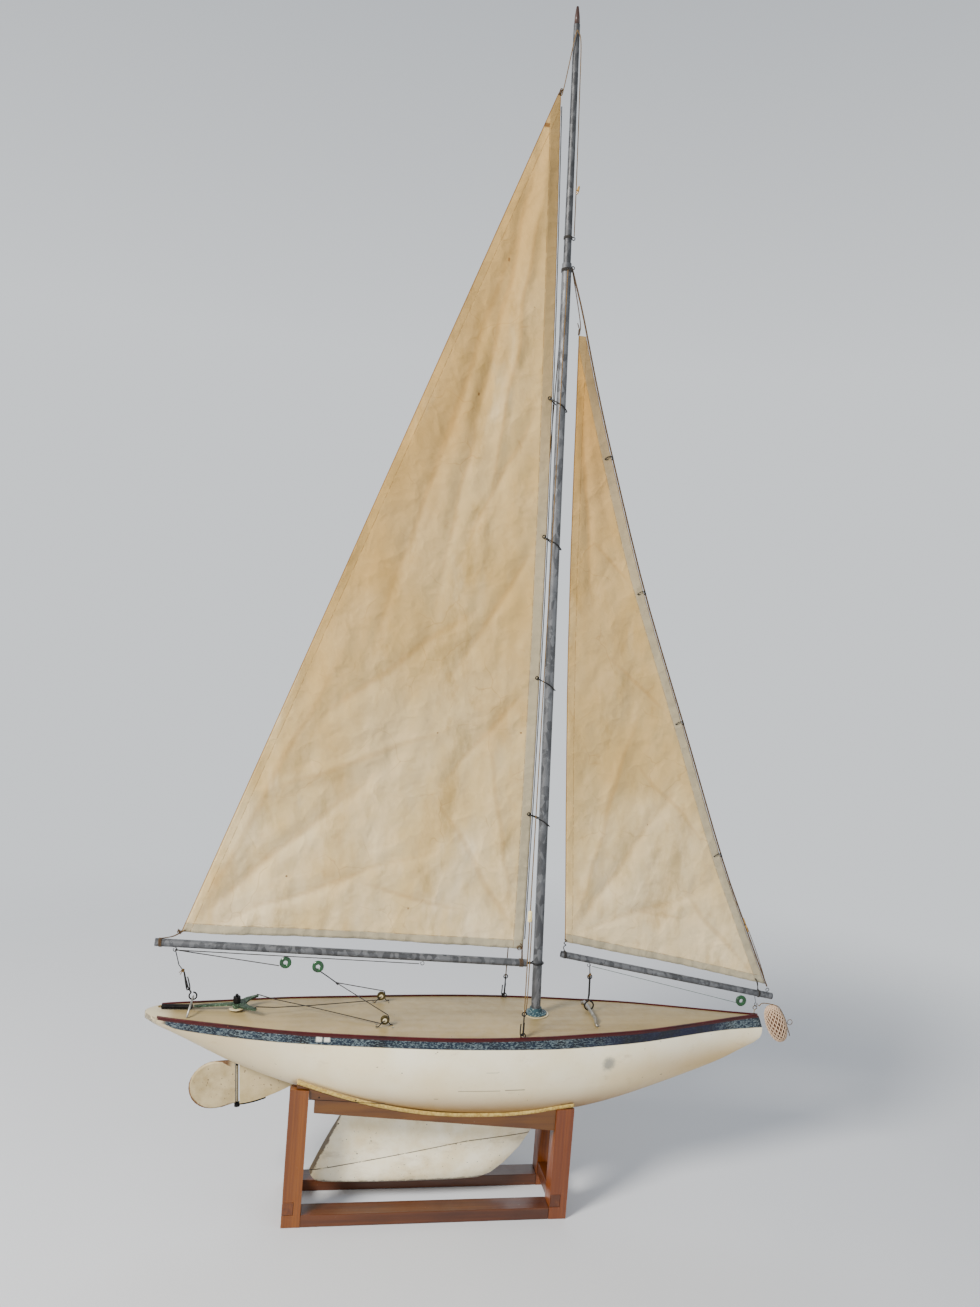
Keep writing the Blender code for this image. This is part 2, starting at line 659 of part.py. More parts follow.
def build_rudder(boat, hull, deck):
    hinge = pivot("rudder_axis", rudder_point(0.0), RUDDER_LEAN)
    top = (deck_z(-0.3606, 0) - RUDDER_AXIS_LOW[1]) / math.cos(RUDDER_LEAN)
    # flanged tube through the hull that the stock turns in
    low, high = rudder_point(0.0660), rudder_point(top + 0.0030)
    length = top + 0.0030 - 0.0660
    bore = STOCK_R + 0.0004
    profile = [(bore, 0), (TUBE_R, 0), (TUBE_R, length - 0.0018), (0.0095, length - 0.0018),
               (0.0095, length), (bore, length)]
    turned("rudder_tube", low, high, profile, "brass", boat, 24)
    hole = rod("cutter_rudder_tube", rudder_point(0.0605), rudder_point(top + 0.02), TUBE_R + GAP,
               "brass", boat, 24)
    cut(hull, hole)
    cut(deck, hole)
    rod("rudder_stock", rudder_point(-0.0019), rudder_point(top + 0.0230), STOCK_R, "brass", hinge)
    # blade: a thin board with a straight front edge, a round back and eased rims
    outline = [(0.0023, 0.0632), (0.0180, 0.0636), (0.0410, 0.0615), (0.0590, 0.0480),
               (0.0665, 0.0290), (0.0610, 0.0090), (0.0455, -0.0025), (0.0250, -0.0040),
               (0.0050, 0.0010), (0.0023, 0.0014)]
    curve = smooth_path([(a, h, 0) for a, h in outline[1:-1]], 19)
    loop = [outline[0]] + [(p.x, p.y) for p in curve] + [outline[-1]]
    centre = (0.030, 0.030)
    rings = []
    for side, pull in ((-BLADE_HALF, 0.93), (-0.0009, 1.0), (0.0009, 1.0), (BLADE_HALF, 0.93)):
        ring = []
        for aft, up in loop:
            a = aft if aft < 0.0030 else centre[0] + (aft - centre[0]) * pull
            ring.append(rudder_point(centre[1] + (up - centre[1]) * pull, a, side))
        rings.append(ring)
    loft("rudder_blade", rings, "cream_paint", hinge)
    return hinge, top


# ================================================================================================
# steering quadrant
# ================================================================================================
def build_quadrant(hinge, top):
    """Flat Y-shaped casting on the rudder head: one arm aft, two forward."""
    base = top + 0.0080
    arm = 0.0025
    shape = [(0.0060, 0.0040), (0.0580, 0.0021), (0.0590, 0.0), (0.0580, -0.0021), (0.0060, -0.0040),
             (0.0000, -0.0068), (-0.0120, -0.0190), (-0.0270, -0.0262), (-0.0285, -0.0225),
             (-0.0175, -0.0120), (-0.0120, 0.0), (-0.0175, 0.0120), (-0.0285, 0.0225),
             (-0.0270, 0.0262), (-0.0120, 0.0190), (0.0000, 0.0068)]
    rings = []
    for lift in (0.0, arm):
        rings.append([rudder_point(base + lift, a, s) for a, s in shape])
    plate = loft("quadrant", rings, "verdigris", hinge)
    cut(plate, rod("cutter_quadrant", rudder_point(base - 0.01), rudder_point(base + 0.02),
                   STOCK_R + GAP, "brass", hinge, 16))
    unite(plate, tube("quadrant_hub", rudder_point(top + 0.0034), rudder_point(base + 0.0010), 0.0058,
                      STOCK_R + GAP, "verdigris", hinge, 20))
    knurls = 14
    cap_rings = []
    for height, scale in ((base + arm + GAP, 0.92), (base + arm + 0.0015, 1.0), (base + arm + 0.0085, 1.0),
                          (base + arm + 0.0095, 0.9)):
        ring = []
        for i in range(2 * knurls):
            r = scale * (0.0052 if i % 2 else 0.0047)
            a = math.pi * i / knurls
            ring.append(rudder_point(height, r * math.cos(a), r * math.sin(a)))
        cap_rings.append(ring)
    cap = loft("quadrant_cap", cap_rings, "dark_wire", hinge)
    cut(cap, rod("cutter_cap", rudder_point(base - 0.01), rudder_point(top + 0.0232), STOCK_R + GAP,
                 "brass", hinge, 16))
    return base + arm


# ================================================================================================
# deck fittings
# ================================================================================================
def build_sheaves(boat):
    """Two small sheaves on wire staples; the steering line turns round them."""
    for side, name in ((-1, "starboard"), (1, "port")):
        x, y, z = PULLEY[0], side * PULLEY[1], PULLEY[2]
        w = SHEAVE_W / 2
        profile = [(0.0013, 0), (SHEAVE_R, 0), (SHEAVE_R, 0.0003), (GROOVE_R, w - 0.0006),
                   (GROOVE_R, w + 0.0006), (SHEAVE_R, 2 * w - 0.0003), (SHEAVE_R, 2 * w), (0.0013, 2 * w)]
        axle = pivot(name + "_sheave_axis", (x, y, z))
        turned(name + "_sheave", (x, y - w, z), (x, y + w, z), profile, "brass", axle, 20)
        foot = deck_z(x, abs(y) - w) + GAP + 0.0008
        side_a, side_b = y - w - 0.0016, y + w + 0.0016
        staple = [(x - 0.0125, side_a, foot), (x - 0.0085, side_a, foot), (x - 0.0030, side_a, z - 0.0012),
                  (x, side_a + 0.0006, z), (x, y, z), (x, side_b - 0.0006, z),
                  (x + 0.0030, side_b, z - 0.0012), (x + 0.0085, side_b, foot), (x + 0.0125, side_b, foot)]
        wire(name + "_sheave_bracket", staple, 0.0006, "dark_wire", boat)


def build_deck_gear(boat):
    # stern horse: arch of brass wire standing on the deck
    arch = []
    foot_z = deck_z(HORSE_X, HORSE_HALF) + 0.0016
    for i in range(17):
        a = math.pi * i / 16
        arch.append((HORSE_X + 0.004 * math.sin(a), -HORSE_HALF * math.cos(a),
                     foot_z + (HORSE_TOP_Z - foot_z) * math.sin(a)))
    wire("stern_horse", arch, 0.0011, "brass", boat, 2)
    # tube of the self-centring gear
    bar_z = deck_z(-0.435, 0) + 0.0042
    tube("centring_tube", (-0.4635, 0, bar_z), (-0.4220, 0, bar_z), 0.0034, 0.0022, "dark_wire", boat)
    # jib horse: low bent rod across the foredeck
    half = JIB_HORSE_HALF
    foot = deck_z(JIB_HORSE_X, half) + 0.0014
    strip = [(-half - 0.005, foot - 0.0002), (-half, foot), (-half + 0.006, JIB_HORSE_Z - 0.0004),
             (0, JIB_HORSE_Z), (half - 0.006, JIB_HORSE_Z - 0.0004), (half, foot), (half + 0.005, foot - 0.0002)]
    wire("jib_horse", [(JIB_HORSE_X, y, z) for y, z in strip], 0.0010, "brass", boat, 2)
    foot = (JIB_AXIS_LOW[0] - 0.0020, 0, deck_z(0.4205, 0) + 0.0010)
    wire("bow_eye", screw_eye(foot, (0.1, 0, 1), (1, 0, 0), 0.0032, 0.0078), 0.0006, "brass", boat)


def mast_point(z, fore=0.0, side=0.0):
    """Point at height z on the raking mast, moved forward and to port."""
    x = MAST_FOOT[0] - math.tan(MAST_RAKE) * (z - MAST_FOOT[1])
    return (x + fore, side, z)


def build_mast(boat):
    foot = deck_z(MAST_FOOT[0], 0) + 0.0037
    tube("mast_lower", mast_point(foot), mast_point(MAST_JOINT_Z), MAST_R, MAST_BORE, "galvanised", boat, 24)
    low = mast_point(MAST_JOINT_Z - 0.035)
    high = mast_point(TOPMAST_TOP_Z)
    length = (Vector(high) - Vector(low)).length
    spigot = MAST_BORE - 0.00045
    turned("mast_upper", low, high, [(spigot - 0.0012, 0), (spigot, 0), (TOPMAST_R[0] - 0.0002, 0.036),
           (TOPMAST_R[1], length), (TOPMAST_R[1] - 0.0012, length)], "galvanised", boat, 24)
    tip_low = mast_point(TOPMAST_TOP_Z - 0.012)
    tip_high = mast_point(TIP_Z)
    full = (Vector(tip_high) - Vector(tip_low)).length
    plug = TOPMAST_R[1] - 0.0012 - GAP
    turned("mast_tip", tip_low, tip_high, [(0, 0), (plug, 0), (plug, 0.0123), (TOPMAST_R[1] - 0.0004, 0.0124),
           (0.0036, 0.024), (0.0018, full - 0.0012), (0, full)], "varnished_wood", boat, 20)
    deck_at = deck_z(MAST_FOOT[0], 0)
    base = mast_point(deck_at + 0.0013)
    upper = mast_point(deck_at + 0.0300)
    turned("mast_collar", base, upper, [(0.0000, 0.0), (0.0165, 0.0), (0.0165, 0.0012), (0.0094, 0.0022),
           (0.0090, 0.0085), (MAST_R + GAP, 0.0085), (MAST_R + GAP, 0.0018), (0.0, 0.0018)],
           "verdigris", boat, 24)


def build_shrouds(boat):
    """Side stays: cord from the hounds down to a long wire hook at the deck edge."""
    for side, name in ((-1, "starboard"), (1, "port")):
        low = Vector((SHROUD_X, side * SHROUD_Y, deck_z(SHROUD_X, SHROUD_Y) + 0.0030))
        top = Vector(mast_point(1.3700, 0, side * (MAST_R + 0.0012)))
        axis = (top - low).normalized()
        hook_top = low + axis * SHROUD_HOOK
        across = Vector((0, 1, 0))
        cord = [top, along(top, hook_top, 0.5), hook_top + axis * 0.0040]
        hook = [hook_top, low + axis * 0.0030 + across * 0.0016, low + axis * 0.0008 + across * 0.0008,
                low + axis * 0.0008 - across * 0.0008, low + axis * 0.0030 - across * 0.0016,
                low + axis * 0.0200 - across * 0.0024]
        scales = [1.0] * 3 + [EYE_WIRE_R / LINE_R] * 6
        wire(name + "_shroud", cord + hook, LINE_R, "cord", boat, 2, scales)
        if side < 0:
            bowsie("shroud_bowsie", low + axis * SHROUD_BOWSIE_UP, axis, 0.0160, boat)


def bowsie(name, centre, axis, length, parent, finish="cream_bowsie"):
    """Small oblong slider, bored along its length for the line that it rides on."""
    axis = Vector(axis).normalized()
    across = Vector((1, 0, 0)) - axis * axis.x
    across.normalize()
    depth = axis.cross(across)
    rings = []
    for t, scale in ((-0.5, 0.55), (-0.42, 0.95), (0.42, 0.95), (0.5, 0.55)):
        at = Vector(centre) + axis * length * t
        ring = []
        for i in range(10):
            a = 2 * math.pi * i / 10
            ring.append(at + across * 0.0032 * scale * math.cos(a) + depth * 0.0020 * scale * math.sin(a))
        rings.append(ring)
    body = loft(name, rings, finish, parent)
    cut(body, rod("cutter_" + name, Vector(centre) - axis * length, Vector(centre) + axis * length,
                  LINE_R + 0.0004, finish, parent, 8))
    return body


def ring_bowsie(name, centre, parent):
    """Green turned ring that a line is made fast to."""
    r, hole, w = RING_R, RING_HOLE, RING_W
    start = (centre[0], -w / 2, centre[1])
    end = (centre[0], w / 2, centre[1])
    profile = [(hole, 0.0007), (hole + 0.0008, 0), (r - 0.0009, 0), (r, 0.0008), (r, w - 0.0008),
               (r - 0.0009, w), (hole + 0.0008, w), (hole, w - 0.0007)]
    return turned(name, start, end, profile, "green_bowsie", parent, 20)


# ================================================================================================
# sails
# ================================================================================================
def main_luff(t):
    x, z = along(MAIN_TACK, MAIN_HEAD, t)
    return (x + MAIN_LUFF_ROUND * math.sin(math.pi * t), z)


def main_leech(t):
    return along(MAIN_CLEW, (MAIN_HEAD[0] - HEAD_WIDTH, MAIN_HEAD[1]), t)


def stay_x(z):
    pts = sorted((p[1], p[0]) for p in FORESTAY)
    return line_value(pts, z)


def jib_luff(t):
    z = JIB_TACK[1] + t * (JIB_HEAD[1] - JIB_TACK[1])
    straight = JIB_TACK[0] + t * (JIB_HEAD[0] - JIB_TACK[0])
    return (min(stay_x(z) - 0.0050, straight + 0.02), z)


def jib_leech(t):
    x, z = along(JIB_CLEW, (JIB_HEAD[0] - HEAD_WIDTH, JIB_HEAD[1]), t)
    return (x - JIB_LEECH_ROUND * math.sin(math.pi * t), z)


def sail(name, fore_edge, aft_edge, rows, parent):
    """Thin flat sheet between a fore and an aft edge curve, from the foot to the head."""
    rings = []
    for i in range(rows + 1):
        t = i / rows
        fore, aft = fore_edge(t), aft_edge(t)
        h = CLOTH / 2
        rings.append([(fore[0], h, fore[1]), (fore[0], -h, fore[1]), (aft[0], -h, aft[1]), (aft[0], h, aft[1])])
    return loft(name, rings, "sailcloth", parent)


def boom_eye(spar, name, start, end, x, side, radius, boom_r, parent):
    """Screw eye in a spar, on its underside (-1) or its top (1); returns the centre of the eye."""
    axis = (Vector(end) - Vector(start)).normalized()
    up = Vector((-axis.z, 0, axis.x)) * side
    t = (x - start[0]) / (end[0] - start[0])
    foot = Vector(start) + (Vector(end) - Vector(start)) * t + up * (boom_r - 0.0006)
    unite(spar, solid_wire(name, screw_eye(foot, up, axis, radius, 0.0016), EYE_WIRE_R, "dark_wire", parent))
    return foot + up * (radius + 0.0016)


def build_main():
    swing = pivot("main_boom_axis", mast_point(BOOM_FWD[1]), MAST_RAKE)
    start, end = flat(BOOM_AFT), flat(BOOM_FWD)
    boom = tube("main_boom", start, end, BOOM_R, BOOM_R - TUBE_WALL, "galvanised", swing)
    aft_eye = boom_eye(boom, "main_eye_aft", start, end, -0.4500, -1, 0.0026, BOOM_R, swing)
    mid_eye = boom_eye(boom, "main_eye_middle", start, end, -0.1020, -1, 0.0026, BOOM_R, swing)
    sail("mainsail", main_luff, main_leech, 16, swing)
    # loop of wire round the mast that carries the fore end of the boom
    forward = Vector((math.cos(MAST_RAKE), 0, math.sin(MAST_RAKE)))
    centre = Vector(mast_point(BOOM_FWD[1] + 0.0006))
    loop = ring_path(centre, forward, Vector((0, 1, 0)), 0.0085, -168, 336, 18)
    loop = [loop[0] - forward * 0.0070] + loop + [loop[-1] - forward * 0.0070]
    wire("gooseneck_loop", loop, 0.0006, "dark_wire", swing)
    # rings on the sheet and the steering bridle, and the sheet doubled along the underside
    ring_bowsie("main_sheet_bowsie", MAIN_BOWSIE, swing)
    ring_bowsie("steering_bowsie", STEERING_BOWSIE, swing)
    beside = Vector((0, 0.0022, 0))
    fore = mid_eye + Vector((-0.0050, 0, 0)) - beside
    back = aft_eye + Vector((0.0050, 0, 0)) - beside
    turn = [aft_eye + Vector((0.0008, 0, -0.0002)) - beside, aft_eye + Vector((0, 0, -0.0002)),
            aft_eye + Vector((0.0008, 0, -0.0004)) + beside, aft_eye + Vector((0.0060, 0.0010, -0.0016))]
    knot = Vector((MAIN_BOWSIE[0] - 0.0084, 0, MAIN_BOWSIE[1] - 0.0048))
    wire("main_sheet", [fore, along(fore, back, 0.5), back] + turn + [knot], LINE_R, "cord", swing, 2)
    # rope in the luff with a hoop of wire round the mast at each seizing
    rope = []
    for z in reversed(HOOP_HEIGHTS):
        t = (z - MAIN_TACK[1]) / (MAIN_HEAD[1] - MAIN_TACK[1])
        luff = main_luff(t)[0] + LUFF_ROPE_GAP
        centre = Vector(mast_point(z))
        tilt = Vector((math.cos(HOOP_TILT), 0, -math.sin(HOOP_TILT)))
        hoop = ring_path(centre, tilt, Vector((0, 1, 0)), HOOP_R, -150, 300, 14)
        lift = Vector((0, 0, 0.0020))
        rope.append(Vector((luff, 0, z - 0.0060)))
        rope += [p + lift * (i / (len(hoop) - 1) - 0.5) for i, p in enumerate(hoop)]
        rope.append(Vector((luff, 0, z + 0.0100)))
    tack = main_luff(0.012)
    head = main_luff(0.985)
    rope = [Vector((tack[0] + LUFF_ROPE_GAP, 0, tack[1]))] + rope
    for t in (0.72, 0.80, 0.90):
        point = main_luff(t)
        rope.append(Vector((point[0] + LUFF_ROPE_GAP, 0, point[1])))
    rope.append(Vector((head[0] + LUFF_ROPE_GAP, 0, head[1])))
    wire("mast_hoops", rope, 0.0005, "dark_wire", swing)
    return aft_eye


def build_halyard_and_drops(boat, aft_eye, jib_eye):
    """Halyard past the masthead, and the two sheet drops with their hooks on the horses."""
    beside = 0.0075
    halyard = [Vector(mast_point(1.4215, 0.0090)), Vector(mast_point(1.5000, 0.0090)),
               Vector(mast_point(1.6400, 0.0080)), Vector(mast_point(1.6900, 0.0060, -0.0040)),
               Vector(mast_point(1.7010, 0.0010, -beside)), Vector(mast_point(1.6960, -0.0030, -beside * 0.85)),
               Vector(flat(MAIN_HEAD)) + Vector((0.0030, -0.0008, 0.0040))]
    wire("main_halyard", smooth_path(halyard, 26), LINE_R, "cord", boat, 2)
    hook = EYE_WIRE_R / LINE_R
    # line, then the shank of the hook, then the link round the horse
    line = [aft_eye + Vector((0.0002, 0.0014, -0.0040)), Vector((-0.4440, 0, 0.3480)), Vector((-0.4375, 0, 0.3400))]
    shank = [Vector((-0.4366, 0, 0.3385)), Vector((-0.4300, 0, 0.3165))]
    link = ring_path((HORSE_X + 0.0040, 0, HORSE_TOP_Z + 0.0032), (1, 0, 0), (0, 0, 1), 0.0052, 120, 330, 14)
    wire("main_sheet_drop", line + shank + link, LINE_R, "dark_wire", boat, 2,
         [1.0] * 3 + [hook] * (2 + len(link)))
    centre = (JIB_HORSE_X, 0.0060, JIB_HORSE_Z + 0.0045)
    line = [jib_eye + Vector((0.0002, 0.0010, -0.0040)), Vector((0.1530, 0.0016, 0.3400))]
    shank = [Vector((0.1533, 0.0018, 0.3380)), Vector((0.1552, 0.0045, 0.3080))]
    link = ring_path(centre, (1, 0, 0), (0, 0, 1), 0.0068, 110, 330, 14)
    wire("jib_sheet_drop", line + shank + link, LINE_R, "dark_wire", boat, 2,
         [1.0] * 2 + [hook] * (2 + len(link)))


def build_steering_line(boat, arm_z):
    """One line: quadrant, across to a sheave, up through the bridle hook, and back the other side."""
    lead = GROOVE_R + LINE_R + 0.0004
    eye = Vector(flat(BRIDLE_EYE))
    half = []
    for side in (-1, 1):
        tip = Vector(rudder_point(arm_z + 0.0012, -0.0262, side * 0.0232))
        hook_end = Vector((tip.x + 0.0262, side * 0.0140, QUADRANT_Z + 0.0005))
        centre = Vector((PULLEY[0], -side * PULLEY[1], PULLEY[2]))
        low = centre + Vector((-0.001, 0, -lead))
        cross = hook_end + (low - hook_end) * 0.35 + Vector((0, 0, 0.0009 * side))
        bend = [centre + Vector((lead * math.sin(a), 0, -lead * math.cos(a)))
                for a in [math.radians(d) for d in range(20, 156, 27)]]
        half.append([tip, tip + Vector((0.0022, -side * 0.0020, 0.0004)), hook_end, cross, low] + bend)
    path = half[0] + [eye + Vector((0.0030, 0.0016, -0.0022)), eye + Vector((-0.0010, 0, -0.0010)),
                      eye + Vector((0.0030, -0.0016, -0.0022))] + list(reversed(half[1]))
    hook = EYE_WIRE_R / LINE_R
    wire("steering_line", path, LINE_R, "cord", boat, 2, [hook] * 3 + [1.0] * (len(path) - 6) + [hook] * 3)


def build_jib():
    lean = math.atan2(JIB_AXIS_LOW[0] - JIB_AXIS_TOP[0], JIB_AXIS_TOP[1] - JIB_AXIS_LOW[1])
    swing = pivot("jib_axis", flat(JIB_AXIS_LOW), lean)
    start, end = flat(JIB_BOOM_AFT), flat(JIB_BOOM_FWD)
    boom = tube("jib_boom", start, end, JIB_BOOM_R, JIB_BOOM_R - TUBE_WALL, "galvanised", swing)
    sheet_eye = boom_eye(boom, "jib_eye_sheet", start, end, 0.1513, -1, 0.0024, JIB_BOOM_R, swing)
    boom_eye(boom, "jib_eye_stay", start, end, 0.4401, 1, 0.0026, JIB_BOOM_R, swing)
    # wire link from the underside of the boom down to the bow eye
    foot = Vector((0.4212, 0, 0.3115))
    centre = Vector(flat(JIB_AXIS_LOW)) + Vector((-0.0004, 0, -0.0007))
    link = [foot, centre + Vector((-0.0006, 0.0, 0.0052))]
    link += ring_path(centre, (0, 1, 0), (0, 0, 1), 0.0030, 80, 320, 12)
    unite(boom, solid_wire("jib_link", link, 0.0005, "dark_wire", swing))
    sail("jib", jib_luff, jib_leech, 14, swing)
    ring = ring_bowsie("jib_sheet_bowsie", JIB_BOWSIE, swing)
    line = [sheet_eye + Vector((0.0050, 0, -0.0016)), Vector((JIB_BOWSIE[0] - 0.0030, 0, JIB_BOWSIE[1] - 0.0042))]
    unite(ring, solid_wire("jib_sheet", line, LINE_R, "cord", swing))
    wire("forestay", smooth_path([flat(p) for p in FORESTAY], 30), 0.0005, "cord", swing, 2)
    return sheet_eye


# ================================================================================================
# bow bumper
# ================================================================================================
def build_bumper(boat):
    """Crocheted bumper at the stem, and the cord that ties it on."""
    axis = Vector((math.sin(BUMPER_TILT), 0, -math.cos(BUMPER_TILT)))
    centre = Vector(flat(BUMPER_CENTRE))
    rings = 12
    profile = [(0, 0)]
    for i in range(1, rings):
        a = math.pi * i / rings
        profile.append((BUMPER_HALF[1] * math.sin(a) ** 0.8, BUMPER_HALF[0] * (1 - math.cos(a))))
    profile.append((0, 2 * BUMPER_HALF[0]))
    turned("bow_bumper", centre - axis * BUMPER_HALF[0], centre + axis * BUMPER_HALF[0], profile,
           "crochet", boat, 20)
    across = Vector((math.cos(BUMPER_TILT), 0, math.sin(BUMPER_TILT)))

    def over(t, off):
        a = math.pi * t
        r = BUMPER_HALF[1] * math.sin(a) ** 0.8 + off
        return centre + axis * (-BUMPER_HALF[0] * math.cos(a)) + across * r

    route = [Vector((0.4300, 0, 0.2945)), Vector((0.4370, 0, 0.2990)), over(0.16, 0.0015), over(0.32, 0.0014),
             over(0.50, 0.0014), over(0.64, 0.0018), over(0.78, 0.0050), over(0.90, 0.0090)]
    wire("bumper_cord", smooth_path(route, 34), 0.0007, "cord", boat, 2)


# ================================================================================================
# cradle
# ================================================================================================
def pad_top(x, y):
    return min(line_value(PAD_LINE, x), section_z(x, abs(y)) - 2 * GAP)


def pad_low(x, y):
    return pad_top(x, y) - PAD_THICK


def build_cradle():
    """Two side frames of posts, rails, boards and pads, joined by cross rails."""
    x0, x1 = STAND_X
    inner = STAND_HALF_W - POST_D
    fore = x1 - POST_W
    edge = x0 + POST_W

    def seat_line(x):
        """Underside of the wedge that closes the gap between board and pad at the aft end."""
        return WEDGE_LOW[0][1] + (x - WEDGE_LOW[0][0]) * WEDGE_SLOPE

    def aft_top(x, y):
        return min(POST_AFT_H, pad_low(x, y) - GAP - WEDGE_MIN)

    def forward_top(x, y):
        return min(POST_FWD_H, pad_low(x, y) - GAP)

    def board_low(x, y):
        if x < edge + GAP + 0.00005:
            return aft_top(x, y) + GAP
        if x < BOARD_LOW[0][0]:
            return seat_line(x)
        straight = BOARD_LOW[0][1] + (x - BOARD_LOW[0][0]) * BOARD_SLOPE
        return min(straight, board_top(x, y) - BOARD_MIN)

    def board_top(x, y):
        return pad_low(x, y) - GAP

    start = PAD_LINE[0][0]
    steps = [start + (x1 - start) * i / 22 for i in range(23)]
    steps += [edge, edge + GAP, edge + GAP + 0.0001, BOARD_LOW[0][0] - 0.0001, BOARD_LOW[0][0], fore - GAP, fore]
    steps = sorted(steps)
    board_x = [x for x in steps if x <= fore - GAP + 1e-9]
    posts = (("aft_post", x0, aft_top, x0 - 0.001), ("forward_post", fore, forward_top, fore + TENON_INSET))
    for side, name in ((-1, "starboard_"), (1, "port_")):
        def reach(values, side=side):
            return sorted(side * y for y in values)

        middle = (BOARD_Y[0] + BOARD_Y[1]) / 2
        across = reach((BOARD_Y[0], middle, BOARD_Y[1]))
        depth = reach((inner, (inner + BOARD_Y[0]) / 2, BOARD_Y[0], middle, BOARD_Y[1], STAND_HALF_W))
        for post_name, px, top, mortise in posts:
            xs = sorted([px, px + POST_W] + [x for x in steps if px + 1e-6 < x < px + POST_W - 1e-6])
            post = slab(name + post_name, xs, depth, lambda x, y: 0.0, top, "varnished_wood")
            slot = reach((0.02, 0.07))
            cut(post, box("cutter_" + post.name, (mortise, slot[0], CROSS_Z[0] - GAP),
                          (px + CROSS_W + GAP, slot[1], CROSS_Z[1] + GAP), "varnished_wood"))
        box(name + "bottom_rail", (x0 + POST_W + GAP, depth[0], 0), (fore - GAP, depth[-1], RAIL_H),
            "varnished_wood")
        slab(name + "cradle_board", board_x, across, board_low, board_top, "varnished_wood")
        slab(name + "pad", steps, across, pad_low, pad_top, "padding")
    box("aft_cross_rail", (x0, -STAND_HALF_W, CROSS_Z[0]), (x0 + CROSS_W, STAND_HALF_W, CROSS_Z[1]),
        "varnished_wood")
    box("forward_cross_rail", (fore + TENON_INSET + GAP, -STAND_HALF_W, CROSS_Z[0]),
        (fore + CROSS_W, STAND_HALF_W, CROSS_Z[1]), "varnished_wood")
    box("forward_upper_rail", (fore + 0.004, -inner + GAP, UPPER_CROSS_Z[0]),
        (fore + 0.004 + CROSS_W, inner - GAP, UPPER_CROSS_Z[1]), "varnished_wood")


def main():
    for obj in list(bpy.data.objects):
        bpy.data.objects.remove(obj, do_unlink=True)
    boat = pivot("boat_lift", (0, 0, 0))
    build_cradle()
    hull, deck = build_hull(boat)
    build_inside(boat, hull)
    build_keel(boat)
    build_skeg(boat)
    hinge, top = build_rudder(boat, hull, deck)
    arm_z = build_quadrant(hinge, top)
    build_sheaves(boat)
    build_deck_gear(boat)
    build_mast(boat)
    build_shrouds(boat)
    aft_eye = build_main()
    jib_eye = build_jib()
    build_halyard_and_drops(boat, aft_eye, jib_eye)
    build_steering_line(boat, arm_z)
    build_bumper(boat)


main()
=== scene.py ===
"""Looks of the pond yacht on its display cradle: studio, paint, wood, metal, cloth and cord.

Row frame: X forward to the bow, Y to port, Z up, metres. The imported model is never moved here.
"""

import math

import bmesh
import bpy
from mathutils import Matrix, Vector, noise


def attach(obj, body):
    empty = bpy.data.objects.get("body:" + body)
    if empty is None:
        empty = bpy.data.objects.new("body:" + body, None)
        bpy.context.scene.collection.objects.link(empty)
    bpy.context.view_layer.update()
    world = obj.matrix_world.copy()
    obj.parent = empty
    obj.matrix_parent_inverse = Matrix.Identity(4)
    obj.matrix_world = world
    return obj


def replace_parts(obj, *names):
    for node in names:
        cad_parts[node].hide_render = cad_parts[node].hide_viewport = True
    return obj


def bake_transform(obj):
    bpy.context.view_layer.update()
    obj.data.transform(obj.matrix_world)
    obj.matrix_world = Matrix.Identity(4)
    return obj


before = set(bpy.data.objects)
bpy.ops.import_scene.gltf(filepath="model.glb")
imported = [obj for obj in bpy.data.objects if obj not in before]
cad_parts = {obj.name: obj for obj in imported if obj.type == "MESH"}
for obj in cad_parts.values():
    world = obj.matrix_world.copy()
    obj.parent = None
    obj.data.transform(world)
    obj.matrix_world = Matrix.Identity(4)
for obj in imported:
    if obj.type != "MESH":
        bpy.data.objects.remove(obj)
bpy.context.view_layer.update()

# --- hull lines
STERN_X, STEM_X = -0.4854, 0.4292
SHEER_LOW = (-0.045, 0.2768)
SHEER_RISE = (0.0052, 0.0038)
BEAM_LINE = [(-0.4854, 0.0155), (-0.4552, 0.0262), (-0.3752, 0.0427), (-0.2952, 0.0577),
    (-0.2152, 0.0666), (-0.0952, 0.0758), (-0.0152, 0.0774), (0.0648, 0.0736),
    (0.1448, 0.0643), (0.2248, 0.0527), (0.3048, 0.0337), (0.3848, 0.0124), (0.4292, 0.0018)]
STERN_ROUNDING = 0.022
KEEL_LINE = [(-0.4854, 0.273), (-0.4415, 0.253), (-0.36, 0.2135), (-0.2689, 0.1815),
    (-0.17, 0.156), (-0.06, 0.1408), (0.04, 0.1392), (0.1436, 0.148),
    (0.24, 0.169), (0.352, 0.203), (0.4292, 0.236)]
FULLNESS_LINE = [(-0.4854, 2.0), (-0.27, 2.4), (-0.03, 2.7), (0.13, 2.8), (0.3, 2.2), (0.4292, 1.9)]
STEM_BULGE = [(0.0, 0.0), (0.25, 0.0052), (0.52, 0.0092), (0.8, 0.0062), (1.0, -0.004)]
STEM_BULGE_FROM = 0.37
KEEL_SEAM = [(-0.2441, 0.0495), (-0.0171, 0.091), (0.0782, 0.1001)]
DECK_BELOW_SHEER = 0.0015
DECK_CAMBER = 0.0055
STRIP = (-0.466, 0.427, 0.0034, 0.0024)         # aft end, fore end, width, height
BAND_LINE = [(-0.4552, 0.274), (-0.4422, 0.2693), (-0.4122, 0.2669), (-0.3622, 0.2648),
    (-0.2382, 0.2631), (-0.1332, 0.2624), (0.0108, 0.2612), (0.1088, 0.2594),
    (0.2168, 0.261), (0.3358, 0.2639), (0.4338, 0.2618)]

